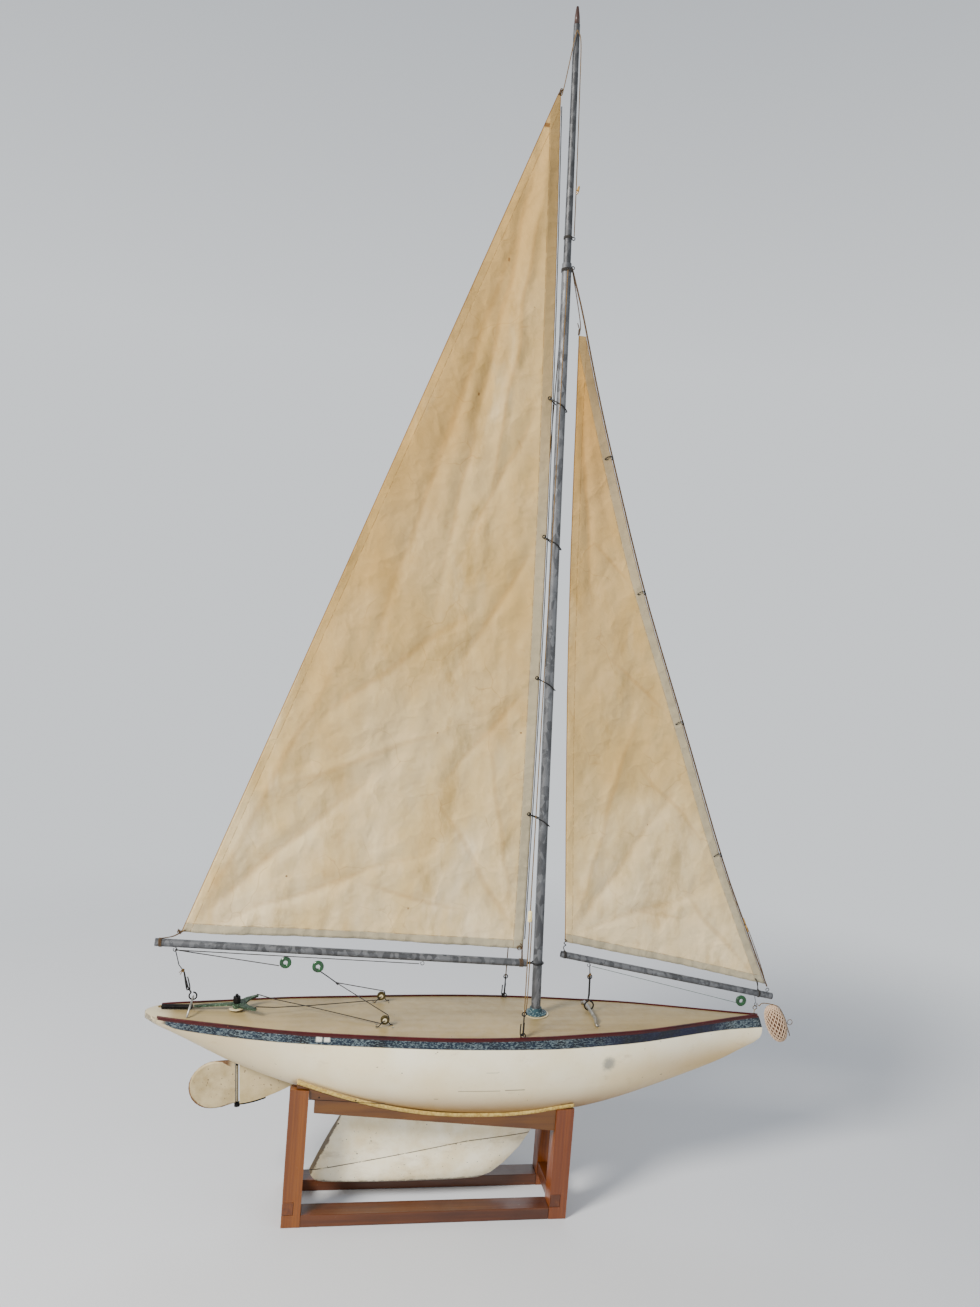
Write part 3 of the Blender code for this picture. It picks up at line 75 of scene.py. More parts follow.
# --- rig
MAST_FOOT = (0.0733, 0.2815)
MAST_RAKE = math.radians(2.302)
MAST_R = 0.007
MAIN_HEAD, MAIN_TACK, MAIN_CLEW = (0.0004, 1.618), (0.0462, 0.3786), (-0.4441, 0.3946)
JIB_HEAD, JIB_TACK, JIB_CLEW = (0.0585, 1.2823), (0.4275, 0.33), (0.1097, 0.3902)
HEAD_WIDTH = 0.0034
FORESTAY = [(0.0372, 1.3767), (0.0586, 1.314), (0.088, 1.215), (0.121, 1.1127), (0.1881, 0.9197),
    (0.2653, 0.7293), (0.3451, 0.53), (0.394, 0.423), (0.4401, 0.3262)]
HANKS = [(0.121, 1.1127), (0.1881, 0.9197), (0.2653, 0.7293), (0.3451, 0.53)]
HOOPS = (1.1766, 0.9775, 0.7713, 0.5697)
BOOM_AFT, BOOM_FWD, BOOM_R = (-0.478, 0.3799), (0.053, 0.3576), 0.0055
JIB_BOOM_AFT, JIB_BOOM_FWD, JIB_BOOM_R = (0.105, 0.3719), (0.4496, 0.3105), 0.0049
HORSE_X, HORSE_TOP_Z = -0.4263, 0.301
JIB_HORSE_X, JIB_HORSE_Z = 0.157, 0.2868
PULLEY = (-0.155, 0.042, 0.2888)
GROOVE_R = 0.005
BRIDLE_EYE = (-0.225, 0.3251)
STEERING_BOWSIE = (-0.2522, 0.3482)
QUADRANT_Z = 0.2935
RUDDER_AXIS_LOW = (-0.352, 0.149)
RUDDER_LEAN = math.radians(3.75)
LINE_R = 0.0007
SHROUD_SWELL, SHROUD_HOOK_TOP = 0.0004, 0.3125
WIRE_SWELL = {"heel_strap": 0.0006, "gooseneck_loop": 0.0005, "main_sheet": 0.0003, "jib_horse": 0.0014,
    "stern_horse": 0.0004, "port_sheave_bracket": 0.0001,
    "starboard_sheave_bracket": 0.0001, "forestay": 0.0008}
BUMPER_CENTRE, BUMPER_HALF, BUMPER_TILT = (0.461, 0.2672), (0.03, 0.015), math.radians(24)
SIDES = ((-1, "starboard"), (1, "port"))

# --- cradle
WEDGE_LINE = [(-0.2534, 0.1808), (-0.1471, 0.1735)]
BOARD_OUTER_Y = 0.0528
PAD_HELD_Y = (0.0418, 0.052)                    # the glued part of the felt, which doesn't swell

# --- studio; the camera was fitted to the photograph
CAMERA_SPOT = (-0.2836, -1.3733, 0.8701)
CAMERA_YAW, CAMERA_PITCH, CAMERA_ROLL = (math.radians(v) for v in (10.1228, 2.3287, 4.4985))
LENS, SENSOR = 26.4855, 36.0
FLOOR_R, FLOOR_Z = 2.0, -0.0004
SKY_LOW, SKY_HIGH = (0.93, 0.97, 1.01, 1.0), (0.34, 0.37, 0.42, 1.0)
LAMPS = (                                        # name, place, target, width, power, colour
    ("key", (-2.5, -1.7, 2.3), (0.0, 0.0, 0.5), 1.0, 240.0, (1.0, 0.96, 0.9)),
    ("fill", (1.9, -1.6, 1.2), (0.0, 0.0, 0.6), 1.8, 12.0, (0.93, 0.96, 1.0)),
    ("back", (0.3, 2.0, 2.4), (0.0, 0.0, 0.6), 1.6, 18.0, (0.95, 0.97, 1.0)))

# --- colour, and marks of age as (x, z) corners
TONE_DEPTH, TONE_CHROMA = 1.22, 1.28
BLACK = (0.0, 0.0, 0.0, 1.0)
SMUDGE = (0.1735, -0.056, 0.2325)
HULL_SCRATCHES = (((0.02, 0.1993), (0.049, 0.2004), (48, 40, 34), 0.9),
    ((-0.0475, 0.1987), (0.0128, 0.1996), (90, 78, 62), 0.8),
    ((-0.01, 0.2272), (0.007, 0.2282), (120, 112, 100), 0.5),
    ((-0.08, 0.185), (-0.074, 0.1858), (70, 58, 45), 0.8))
WHITE_DABS = (((-0.2492, 0.2672), (-0.2412, 0.2745)), ((-0.2382, 0.2676), (-0.2303, 0.2738)))
SAIL_STAINS = (((-0.02, 1.5675), (-0.012, 1.5735)), ((-0.056, 1.375), (-0.0535, 1.38)),
    ((-0.084, 1.182), (-0.0815, 1.186)), ((-0.13, 0.433), (-0.1278, 0.436)))
SAIL_VALUES = ("crease", "luff_in", "foot_in", "leech_in")


# ==================== shapes
def line_value(points, x):
    """Smooth curve through a short list of (x, value) points."""
    if x <= points[0][0]:
        return points[0][1]
    if x >= points[-1][0]:
        return points[-1][1]
    last = len(points) - 1
    i = max(j for j in range(last) if points[j][0] <= x)

    def slope(k):
        lo, hi = max(k - 1, 0), min(k + 1, last)
        return (points[hi][1] - points[lo][1]) / (points[hi][0] - points[lo][0])

    (x0, v0), (x1, v1) = points[i], points[i + 1]
    h = x1 - x0
    t = (x - x0) / h
    start = (1 + 2 * t) * (1 - t) ** 2 * v0 + t * (1 - t) ** 2 * h * slope(i)
    end = t * t * (3 - 2 * t) * v1 + t * t * (t - 1) * h * slope(i + 1)
    return start + end


def sheer_z(x):
    rise, reach = (SHEER_RISE[0], 0.37) if x < SHEER_LOW[0] else (SHEER_RISE[1], 0.43)
    return SHEER_LOW[1] + rise * ((x - SHEER_LOW[0]) / reach) ** 2


def half_beam(x):
    value = line_value(BEAM_LINE, x)
    q = (x - STERN_X) / STERN_ROUNDING
    if q < 1.0:
        value *= math.sqrt(max(1.0 - (1.0 - q) ** 2, 0.0))
    return max(value, 0.0006)


def stem_lean(x, depth):
    if x <= STEM_BULGE_FROM:
        return 0.0
    t = (x - STEM_BULGE_FROM) / (STEM_X - STEM_BULGE_FROM)
    return line_value(STEM_BULGE, depth) * t * t * (3 - 2 * t)


def deck_z(x, y):
    crown = DECK_CAMBER * min(half_beam(x) / 0.05, 1.0)
    return sheer_z(x) - DECK_BELOW_SHEER + crown * (1 - (y / half_beam(x)) ** 2)


QUADRANT_ON_STOCK = (deck_z(-0.3606, 0) - RUDDER_AXIS_LOW[1]) / math.cos(RUDDER_LEAN)   # up the stock


def stations(first, last, count):
    """Stations that crowd together towards both ends."""
    return [first + (last - first) * (1 - math.cos(math.pi * i / count)) / 2 for i in range(count + 1)]


def mast_point(z, fore=0.0, side=0.0):
    return (MAST_FOOT[0] - math.tan(MAST_RAKE) * (z - MAST_FOOT[1]) + fore, side, z)


def rudder_point(height, aft=0.0, side=0.0):
    c, s = math.cos(RUDDER_LEAN), math.sin(RUDDER_LEAN)
    return (RUDDER_AXIS_LOW[0] - s * height - c * aft, side, RUDDER_AXIS_LOW[1] + c * height - s * aft)


def flat(point, y=0.0):
    return Vector((point[0], y, point[1]))


def mid(a, b, t):
    return tuple(p + (q - p) * t for p, q in zip(a, b))


def smooth_path(points, count):
    """Points spaced along a smooth curve through a few given points."""
    pts = [Vector(p) for p in points]
    pts = [2 * pts[0] - pts[1]] + pts + [2 * pts[-1] - pts[-2]]
    out = []
    spans = len(pts) - 3
    for k in range(count):
        u = spans * k / (count - 1)
        i = min(int(u), spans - 1)
        t = u - i
        a, b, c, d = pts[i:i + 4]
        out.append(0.5 * (2 * b + (c - a) * t + (2 * a - 5 * b + 4 * c - d) * t ** 2
                + (3 * b - a - 3 * c + d) * t ** 3))
    return out


def ring_path(centre, across, up, radius, start=0.0, sweep=360.0, steps=20):
    out = []
    for i in range(steps + 1):
        a = math.radians(start + sweep * i / steps)
        out.append(Vector(centre) + Vector(across) * radius * math.cos(a) + Vector(up) * radius * math.sin(a))
    return out


def coil_path(start, end, radius, turns, steps=12):
    """Turns of cord wound on a rod between two points."""
    start, end = Vector(start), Vector(end)
    axis = (end - start).normalized()
    across = axis.orthogonal().normalized()
    up = axis.cross(across)
    count = int(turns * steps)
    return [start.lerp(end, i / count) + (across * math.cos(math.tau * i / steps)
            + up * math.sin(math.tau * i / steps)) * radius for i in range(count + 1)]


def around(base, *offsets):
    """Points given by how far they are from a base point."""
    return [Vector(base) + Vector(offset) for offset in offsets]


def hoop(centre, radius, *turn):
    """Ring in the fore-and-aft upright plane."""
    return ring_path(centre, (1, 0, 0), (0, 0, 1), radius, *turn)


def placed(name, data):
    obj = bpy.data.objects.new(name, data)
    bpy.context.scene.collection.objects.link(obj)
    return obj


def new_object(name, mesh, body, finish, smooth=50):
    """Links a mesh, gives it its material, and lets it ride on a CAD body."""
    obj = placed(name, mesh)
    mesh.materials.clear()
    for one in finish if isinstance(finish, (list, tuple)) else [finish]:
        mesh.materials.append(one)
    mesh.shade_smooth()
    mesh.set_sharp_from_angle(angle=math.radians(smooth))
    if body:
        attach(obj, body)
    return obj


def mesh_of(name, bm, turn=True):
    if turn:
        bmesh.ops.recalc_face_normals(bm, faces=bm.faces)
    mesh = bpy.data.meshes.new(name)
    bm.to_mesh(mesh)
    bm.free()
    return mesh


def made(name, bm, body, finish, slot, smooth=50):
    return new_object(name, mesh_of(name, bm), body, finish, smooth)


def bridge(bm, rows, closed_ring=True, caps=True):
    """Faces between equal rows of vertices, with the first and last row filled."""
    count = len(rows[0])
    for a, b in zip(rows, rows[1:]):
        for i in range(count if closed_ring else count - 1):
            j = (i + 1) % count
            bm.faces.new((a[i], a[j], b[j], b[i]))
    if caps:
        bm.faces.new(rows[0])
        bm.faces.new(rows[-1])


def sweep(bm, path, radius, sides=8, material=0):
    """Round cord or wire along a path; radius is one number or one for each point."""
    pts = [Vector(p) for p in path]
    normal = None
    rows = []
    for i, p in enumerate(pts):
        direction = (pts[min(i + 1, len(pts) - 1)] - pts[max(i - 1, 0)]).normalized()
        if normal is None:
            normal = direction.orthogonal()
        normal = (normal - direction * normal.dot(direction)).normalized()
        side = direction.cross(normal)
        r = radius[i] if isinstance(radius, list) else radius
        rows.append([bm.verts.new(p + (normal * math.cos(math.tau * k / sides)
                    + side * math.sin(math.tau * k / sides)) * r) for k in range(sides)])
    first = len(bm.faces)
    bridge(bm, rows)
    bm.faces.ensure_lookup_table()
    for face in bm.faces[first:]:
        face.material_index = material


def cords(name, paths, radius, body, finish, slot, sides=8):
    bm = bmesh.new()
    for path in paths:
        sweep(bm, path, radius, sides)
    return made(name, bm, body, finish, slot)


def disc(bm, centre, normal, radius, thick, sides=24):
    """Thin round plate, such as a washer or a nail head."""
    turn = Vector(normal).to_track_quat("Z", "Y").to_matrix().to_4x4()
    matrix = Matrix.Translation(centre) @ turn
    rows = []
    for r, h in ((radius, -thick / 2), (radius, thick / 4), (radius * 0.82, thick / 2)):
        rows.append([bm.verts.new(matrix @ Vector((r * math.cos(math.tau * i / sides),
                    r * math.sin(math.tau * i / sides), h))) for i in range(sides)])
    bridge(bm, rows)


def discs(name, items, thick, body, finish, slot):
    bm = bmesh.new()
    for centre, normal, radius in items:
        disc(bm, centre, normal, radius, thick)
    return made(name, bm, body, finish, slot, 30)


def dress(node, body, finish, bevel=0.0, smooth=35, swell=0.0):
    """Finer copy of a CAD node: welded, smooth-shaded and with eased edges, in place of the node."""
    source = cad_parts[node]
    bm = bmesh.new()
    bm.from_mesh(source.data)
    bm.transform(source.matrix_world)
    bmesh.ops.remove_doubles(bm, verts=bm.verts, dist=2e-6)
    bmesh.ops.dissolve_limit(bm, angle_limit=math.radians(0.15), verts=bm.verts, edges=bm.edges)
    if swell:
        bm.normal_update()
        for vertex, normal in [(v, v.normal.copy()) for v in bm.verts]:
            vertex.co += normal * swell
    obj = new_object(node + "_look", mesh_of(node + "_look", bm, False), body, finish, smooth)
    if bevel:
        step = obj.modifiers.new("eased_edges", "BEVEL")
        step.width = bevel
        step.segments = 2
        step.limit_method = "ANGLE"
        step.angle_limit = math.radians(40)
        step.harden_normals = True
    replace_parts(obj, node)
    return obj


# ==================== materials
def tone(r, g, b):
    """Linear colour from screen values of 0 to 255, made richer because the view transform pales it."""
    linear = [(v / 255.0) ** (2.2 * TONE_DEPTH) for v in (r, g, b)]
    luma = 0.2126 * linear[0] + 0.7152 * linear[1] + 0.0722 * linear[2]
    return (*(min(max(luma + (v - luma) * TONE_CHROMA, 0.0), 1.0) for v in linear), 1.0)


class Graph:
    """Short way to write one procedural material round a Principled shader; it keeps its colour so far."""

    def __init__(self, name):
        self.mat = bpy.data.materials.new(name)
        self.mat.use_nodes = True
        self.tree = self.mat.node_tree
        self.shader = self.tree.nodes["Principled BSDF"]
        self.place = self.node("ShaderNodeTexCoord", {}).outputs["Object"]
        self.parts = tuple(self.node("ShaderNodeSeparateXYZ", {0: self.place}).outputs)

    def put(self, socket, value):
        if isinstance(value, bpy.types.NodeSocket):
            self.tree.links.new(value, socket)
        else:
            socket.default_value = value

    def node(self, kind, inputs, **settings):
        made = self.tree.nodes.new(kind)
        for key, value in settings.items():
            setattr(made, key, value)
        for key, value in inputs.items():
            self.put(made.inputs[key], value)
        return made

    def mapped(self, stretch, shift=0.0):
        return self.node("ShaderNodeMapping", {"Vector": self.place, "Scale": stretch,
                "Location": (shift,) * 3}).outputs[0]

    def noise(self, scale, stretch=(1, 1, 1), detail=4.0, rough=0.55, shift=0.0):
        return self.node("ShaderNodeTexNoise", {"Vector": self.mapped(stretch, shift), "Scale": scale,
                "Detail": detail, "Roughness": rough}).outputs["Fac"]

    def span(self, value, low, high, start=0.0, end=1.0):
        """Smooth step of a value from low to high."""
        inputs = {"Value": value, "From Min": low, "From Max": high, "To Min": start, "To Max": end}
        return self.node("ShaderNodeMapRange", inputs, interpolation_type="SMOOTHSTEP").outputs["Result"]

    def blot(self, low, high, *texture, **more):
        """Mask of the places where a noise passes from low to high."""
        return self.span(self.noise(*texture, **more), low, high)

    def uneven(self, low, high, scale, shift=0.0):
        """Roughness that wanders between two values."""
        return self.span(self.noise(scale, shift=shift), 0.3, 0.7, low, high)

    def maths(self, kind, a, b=0.0):
        return self.node("ShaderNodeMath", {0: a, 1: b}, operation=kind).outputs[0]

    def times(self, a, b):
        return self.maths("MULTIPLY", a, b)

    def plus(self, a, b):
        return self.maths("ADD", a, b)

    def less(self, a, b):
        return self.maths("SUBTRACT", a, b)

    def most(self, a, b):
        return self.maths("MAXIMUM", a, b)

    def far(self, point):
        made = self.node("ShaderNodeVectorMath", {0: self.place, 1: point}, operation="DISTANCE")
        return made.outputs["Value"]

    def mix(self, share, a, b):
        """Mix of two colours; three screen values stand for a tone."""
        made = self.node("ShaderNodeMix", {}, data_type="RGBA")
        for index, value in ((0, share), (6, a), (7, b)):
            is_tone = isinstance(value, tuple) and len(value) == 3
            self.put(made.inputs[index], tone(*value) if is_tone else value)
        return made.outputs[2]

    def start(self, share, main, second):
        self.colour = self.mix(share, main, second)

    def tint(self, mask, towards, share=1.0):
        """Takes the colour towards another one where the mask is 1."""
        self.colour = self.mix(mask if share == 1.0 else self.times(mask, share), self.colour, towards)

    def attribute(self, name):
        return self.node("ShaderNodeAttribute", {}, attribute_name=name).outputs["Fac"]

    def patch(self, low, high, soft=0.0012):
        """1 inside a box in x and z, fading out over a soft edge."""
        x, _, z = self.parts
        sides = [self.span(value, at - way * soft, at + way * soft) for value, at, way in
            ((x, low[0], 1), (x, high[0], -1), (z, low[1], 1), (z, high[1], -1))]
        return self.times(self.times(self.times(sides[0], sides[1]), sides[2]), sides[3])

    def bump(self, height, strength, distance):
        self.put(self.shader.inputs["Normal"], self.node(
                "ShaderNodeBump", {"Height": height, "Strength": strength, "Distance": distance}).outputs[0])

    def finish(self, rough, metal=0.0, **fixed):
        for key, value in (("Base Color", self.colour), ("Roughness", rough), ("Metallic", metal)):
            self.put(self.shader.inputs[key], value)
        for key, value in fixed.items():
            self.shader.inputs[key.replace("_", " ")].default_value = value
        return self.mat


def hull_material():
    """Cream enamel with a flecked blue band, a maroon edge under the deck, the marks of age and painted shade
    low on the hull.
    """
    g = Graph("hull_enamel")
    x, y, z = g.parts
    g.start(g.blot(0.35, 0.68, 9, detail=5, rough=0.6), (246, 240, 222), (238, 228, 202))
    g.tint(g.times(g.span(x, 0.08, 0.4), g.span(z, 0.27, 0.205)), (186, 162, 124))
    g.tint(g.span(z, 0.252, 0.19, 0.0, 0.4), (204, 186, 152))
    # Browner towards the keel: partly dirt, partly painted shade under the bilge.
    g.tint(g.span(z, 0.205, 0.15), (144, 112, 66))
    g.tint(g.span(x, -0.18, -0.4), (194, 182, 158), 0.9)
    g.tint(g.blot(0.56, 0.8, 60, (0.5, 1, 1), 6, 0.7, 3.0), (160, 138, 102), 0.35)
    chips = g.blot(0.735, 0.76, 230, (0.6, 1, 1), 3, 0.5, 7.0)
    g.tint(chips, (92, 78, 62))
    for low, high, dark, share in HULL_SCRATCHES:
        g.tint(g.patch(low, high, 0.0006), dark, share)
    smudge = g.plus(g.far(SMUDGE), g.times(g.noise(260, detail=4, rough=0.7), 0.01))
    g.tint(g.span(smudge, 0.0195, 0.01, 0.0, 0.75), (128, 130, 128))
    fleck = g.noise(520, (0.5, 1, 1.1), 4, 0.75, 1.0)
    forward = g.times(g.span(x, 0.08, 0.22), g.span(x, 0.385, 0.34))
    patchy = g.blot(0.35, 0.65, 26, (1, 1, 1.5), 3, 0.5, 5.0)
    worn = g.span(g.plus(fleck, g.times(patchy, 0.05)), 0.535, 0.585)
    worn = g.times(worn, g.less(1.0, g.times(forward, 0.92)))
    blue = g.mix(forward, (28, 45, 60), (0, 22, 54))
    blue = g.mix(g.blot(0.4, 0.7, 40, detail=4, shift=2.0), blue, (10, 18, 30))
    blue = g.mix(g.times(worn, 0.62), blue, (136, 146, 148))
    dabs = g.most(*(g.patch(low, high) for low, high in WHITE_DABS))
    dabs = g.times(dabs, g.blot(0.34, 0.4, 210, detail=4, rough=0.7, shift=8.0))
    blue = g.mix(g.times(dabs, g.span(y, 0.01, -0.01)), blue, (214, 214, 206))
    wander = g.plus(g.attribute("band"), g.times(g.less(g.noise(180), 0.5), 0.0007))
    g.tint(g.times(g.span(wander, -0.0002, 0.0002), g.span(x, -0.462, -0.452)), blue)
    maroon = g.mix(g.blot(0.45, 0.75, 150, (0.3, 1, 1), 4, 0.6, 6.0), (72, 10, 14), (48, 6, 10))
    g.tint(g.times(g.span(g.attribute("below_deck"), 0.0029, 0.0024), g.span(x, -0.468, -0.464)), maroon)
    edge = g.times(g.span(wander, -0.0009, -0.0003), g.span(wander, 0.0004, 0.0001))
    g.tint(g.times(edge, g.span(x, -0.45, -0.44, 0.0, 0.55)), (34, 32, 32))
    g.tint(g.times(g.span(x, -0.462, -0.474), g.blot(0.36, 0.5, 200, shift=4.0)), (116, 112, 104), 0.8)
    height = g.plus(g.noise(25, detail=3), g.times(g.noise(420, detail=2), 0.15))
    g.bump(g.less(height, g.times(g.plus(chips, worn), 0.12)), 0.35, 0.0012)
    return g.finish(g.uneven(0.34, 0.5, 70), Coat_Weight=0.06, Coat_Roughness=0.25, Specular_IOR_Level=0.35)


def deck_material():
    """Cream deck paint, brushed lengthwise."""
    g = Graph("deck_enamel")
    streak = g.noise(30, (0.12, 1.6, 1), 5, 0.65)
    g.start(g.span(streak, 0.3, 0.7), (154, 142, 116), (140, 127, 100))
    g.tint(g.blot(0.4, 0.7, 7, detail=3, shift=2.0), (172, 158, 129), 0.6)
    lines = g.blot(0.66, 0.76, 150, (0.03, 1.3, 1), 2, 0.5, 4.0)
    g.tint(lines, (110, 92, 68), 0.12)
    g.tint(g.span(g.parts[0], -0.44, -0.462), (192, 184, 164))
    g.tint(g.blot(0.72, 0.76, 300, detail=2, shift=9.0), (80, 64, 46))
    g.bump(g.plus(streak, lines), 0.25, 0.0008)
    return g.finish(g.uneven(0.38, 0.55, 90))


def worn_paint(name, main, second, chip, chip_from=0.66, rough=(0.35, 0.5)):
    """Old brushed enamel with clouds of dirt and chips down to what is under it."""
    g = Graph(name)
    g.start(g.blot(0.35, 0.7, 18, detail=5, rough=0.65), main, second)
    chips = g.blot(chip_from, chip_from + 0.04, 240, detail=4, rough=0.6, shift=3.0)
    g.tint(chips, chip)
    g.bump(g.less(g.noise(160), g.times(chips, 0.5)), 0.3, 0.0008)
    return g.finish(g.uneven(*rough, 60, 5.0), Specular_IOR_Level=0.3)


def keel_material():
    """White-painted keel, chipped dark at its aft and bottom edges, with the seam over the lead."""
    g = Graph("keel_enamel")
    x, _, z = g.parts
    g.start(g.blot(0.35, 0.7, 22, detail=5, rough=0.65), (246, 240, 222), (230, 218, 190))
    ragged = g.times(g.less(g.noise(120, detail=4, rough=0.7), 0.5), 0.01)
    aft = g.plus(x, g.times(g.less(z, 0.05), -0.43))
    aft = g.span(g.plus(aft, ragged), -0.2365, -0.2392)
    foot = g.span(g.plus(z, ragged), 0.0368, 0.0342)
    worn = g.most(aft, g.times(foot, 0.8))
    g.tint(worn, (76, 62, 50), 0.85)
    runs = []
    for (x0, z0), (x1, z1) in zip(KEEL_SEAM, KEEL_SEAM[1:]):
        slope = (z1 - z0) / (x1 - x0)
        runs.append(g.plus(g.times(x, slope), z0 - x0 * slope))
    seam = g.span(g.maths("ABSOLUTE", g.less(z, g.maths("MINIMUM", *runs))), 0.001, 0.0004)
    g.tint(g.times(seam, g.blot(0.34, 0.46, 60, detail=3, shift=12.0)), (52, 42, 32), 0.95)
    g.tint(g.blot(0.7, 0.74, 260, detail=2, shift=5.0), (84, 70, 54))
    g.tint(g.blot(0.52, 0.78, 48, (0.4, 1, 1), 5, 0.7, 8.0), (168, 148, 112), 0.4)
    g.bump(g.less(g.noise(40, detail=3), g.times(worn, 0.4)), 0.4, 0.0015)
    return g.finish(g.uneven(0.38, 0.6, 60))


def blade_material():
    """Grey-beige rudder whose rim is chipped to brown wood."""
    g = Graph("rudder_enamel")
    g.start(g.blot(0.35, 0.7, 30, detail=5, rough=0.65), (188, 176, 150), (160, 146, 118))
    ragged = g.plus(g.far(rudder_point(0.0298, 0.0312)), g.times(g.noise(150, detail=4), 0.0045))
    g.tint(g.times(g.span(ragged, 0.0348, 0.0364), g.span(g.parts[0], -0.36, -0.37)), (104, 78, 52))
    g.tint(g.blot(0.68, 0.72, 240, detail=3, shift=2.0), (92, 78, 60))
    g.bump(g.noise(90, detail=4), 0.35, 0.001)
    return g.finish(0.52)


def wood(name, axis, pale, dark, gloss=0.3):
    """Varnished softwood with its grain along one axis."""
    g = Graph(name)
    stretch, fine = (tuple(squeeze if k == axis else 1.0 for k in range(3)) for squeeze in (0.05, 0.02))
    streak = g.noise(190, fine, 3, 0.6, 2.0)
    grain = g.plus(g.times(g.noise(16, stretch, 5, 0.6), 0.65), g.times(streak, 0.35))
    g.start(g.span(grain, 0.38, 0.62), pale, dark)
    rings = g.node("ShaderNodeTexWave", {"Vector": g.mapped(stretch), "Scale": 62.0, "Distortion": 5.0,
            "Detail": 3.0, "Detail Scale": 1.5}).outputs["Fac"]
    g.tint(g.span(rings, 0.55, 0.95, 0.0, 0.22), mid(tone(*dark), BLACK, 0.35))
    scuff = mid(tone(*pale), (1.0, 0.9, 0.75, 1.0), 0.35)
    g.tint(g.blot(0.66, 0.74, 90, detail=5, rough=0.75, shift=6.0), scuff, 0.5)
    g.bump(g.plus(streak, g.times(rings, 0.3)), 0.25, 0.0006)
    return g.finish(g.uneven(gloss, gloss + 0.16, 45, 1.0), Coat_Weight=0.3, Coat_Roughness=0.2)


def metal(name, main, second, spots, rough, share=0.85, scale=120.0, rust=0.64):
    """Old metal: mottled, with spots of corrosion."""
    g = Graph(name)
    mottle = g.times(g.plus(g.noise(scale, detail=5, rough=0.7), g.noise(scale * 0.2)), 0.5)
    g.start(g.span(mottle, 0.38, 0.62), main, second)
    spot = g.blot(rust, rust + 0.05, scale * 2.2, detail=3, shift=4.0)
    g.tint(spot, spots)
    g.bump(g.plus(mottle, g.times(spot, 0.3)), 0.3, 0.0005)
    return g.finish(g.uneven(rough - 0.08, rough + 0.12, scale * 0.7, 8.0),
        g.less(share, g.times(spot, share * 0.7)))


def galvanised(name, shade, share):
    """Zinc-dipped tube: grey crystals, white bloom and dark scuffs."""
    g = Graph(name)
    cells = g.node("ShaderNodeTexVoronoi", {"Vector": g.mapped((1, 1, 0.5)), "Scale": 170.0}).outputs["Color"]
    crystals = g.node("ShaderNodeSeparateColor", {0: cells}).outputs[0]
    grey = g.plus(g.times(crystals, 0.5), g.times(g.noise(60, detail=5, rough=0.7), 0.5))
    low, high = (tuple(v * shade for v in one) for one in ((80, 81, 83), (114, 115, 117)))
    g.start(g.span(grey, 0.25, 0.75), low, high)
    bloom = g.blot(0.56, 0.7, 110, detail=5, rough=0.75, shift=3.0)
    g.tint(bloom, (152, 156, 158), share)
    g.tint(g.blot(0.62, 0.72, 150, detail=4, rough=0.7, shift=7.0), (62, 64, 68), 0.7)
    g.bump(g.plus(grey, bloom), 0.2, 0.0005)
    return g.finish(g.uneven(0.42, 0.62, 90, 5.0), g.span(bloom, 0.0, 1.0, 0.3, 0.12))


def thread(name, main, second, scale=900.0, rough=0.85):
    """Twisted cord, yarn or felt."""
    g = Graph(name)
    fibre = g.noise(scale, detail=3, rough=0.7)
    g.start(g.span(fibre, 0.35, 0.65), main, second)
    g.tint(g.blot(0.5, 0.75, 45, detail=4, shift=3.0), mid(tone(*second), BLACK, 0.45), 0.35)
    g.bump(fibre, 0.6, 0.0005)
    return g.finish(rough, Sheen_Weight=0.12)


def plastic(name, main, second):
    g = Graph(name)
    g.start(g.blot(0.4, 0.65, 140, detail=4), main, second)
    g.bump(g.noise(300, detail=2), 0.12, 0.0004)
    return g.finish(g.uneven(0.14, 0.28, 200), Coat_Weight=0.3, Coat_Roughness=0.1)


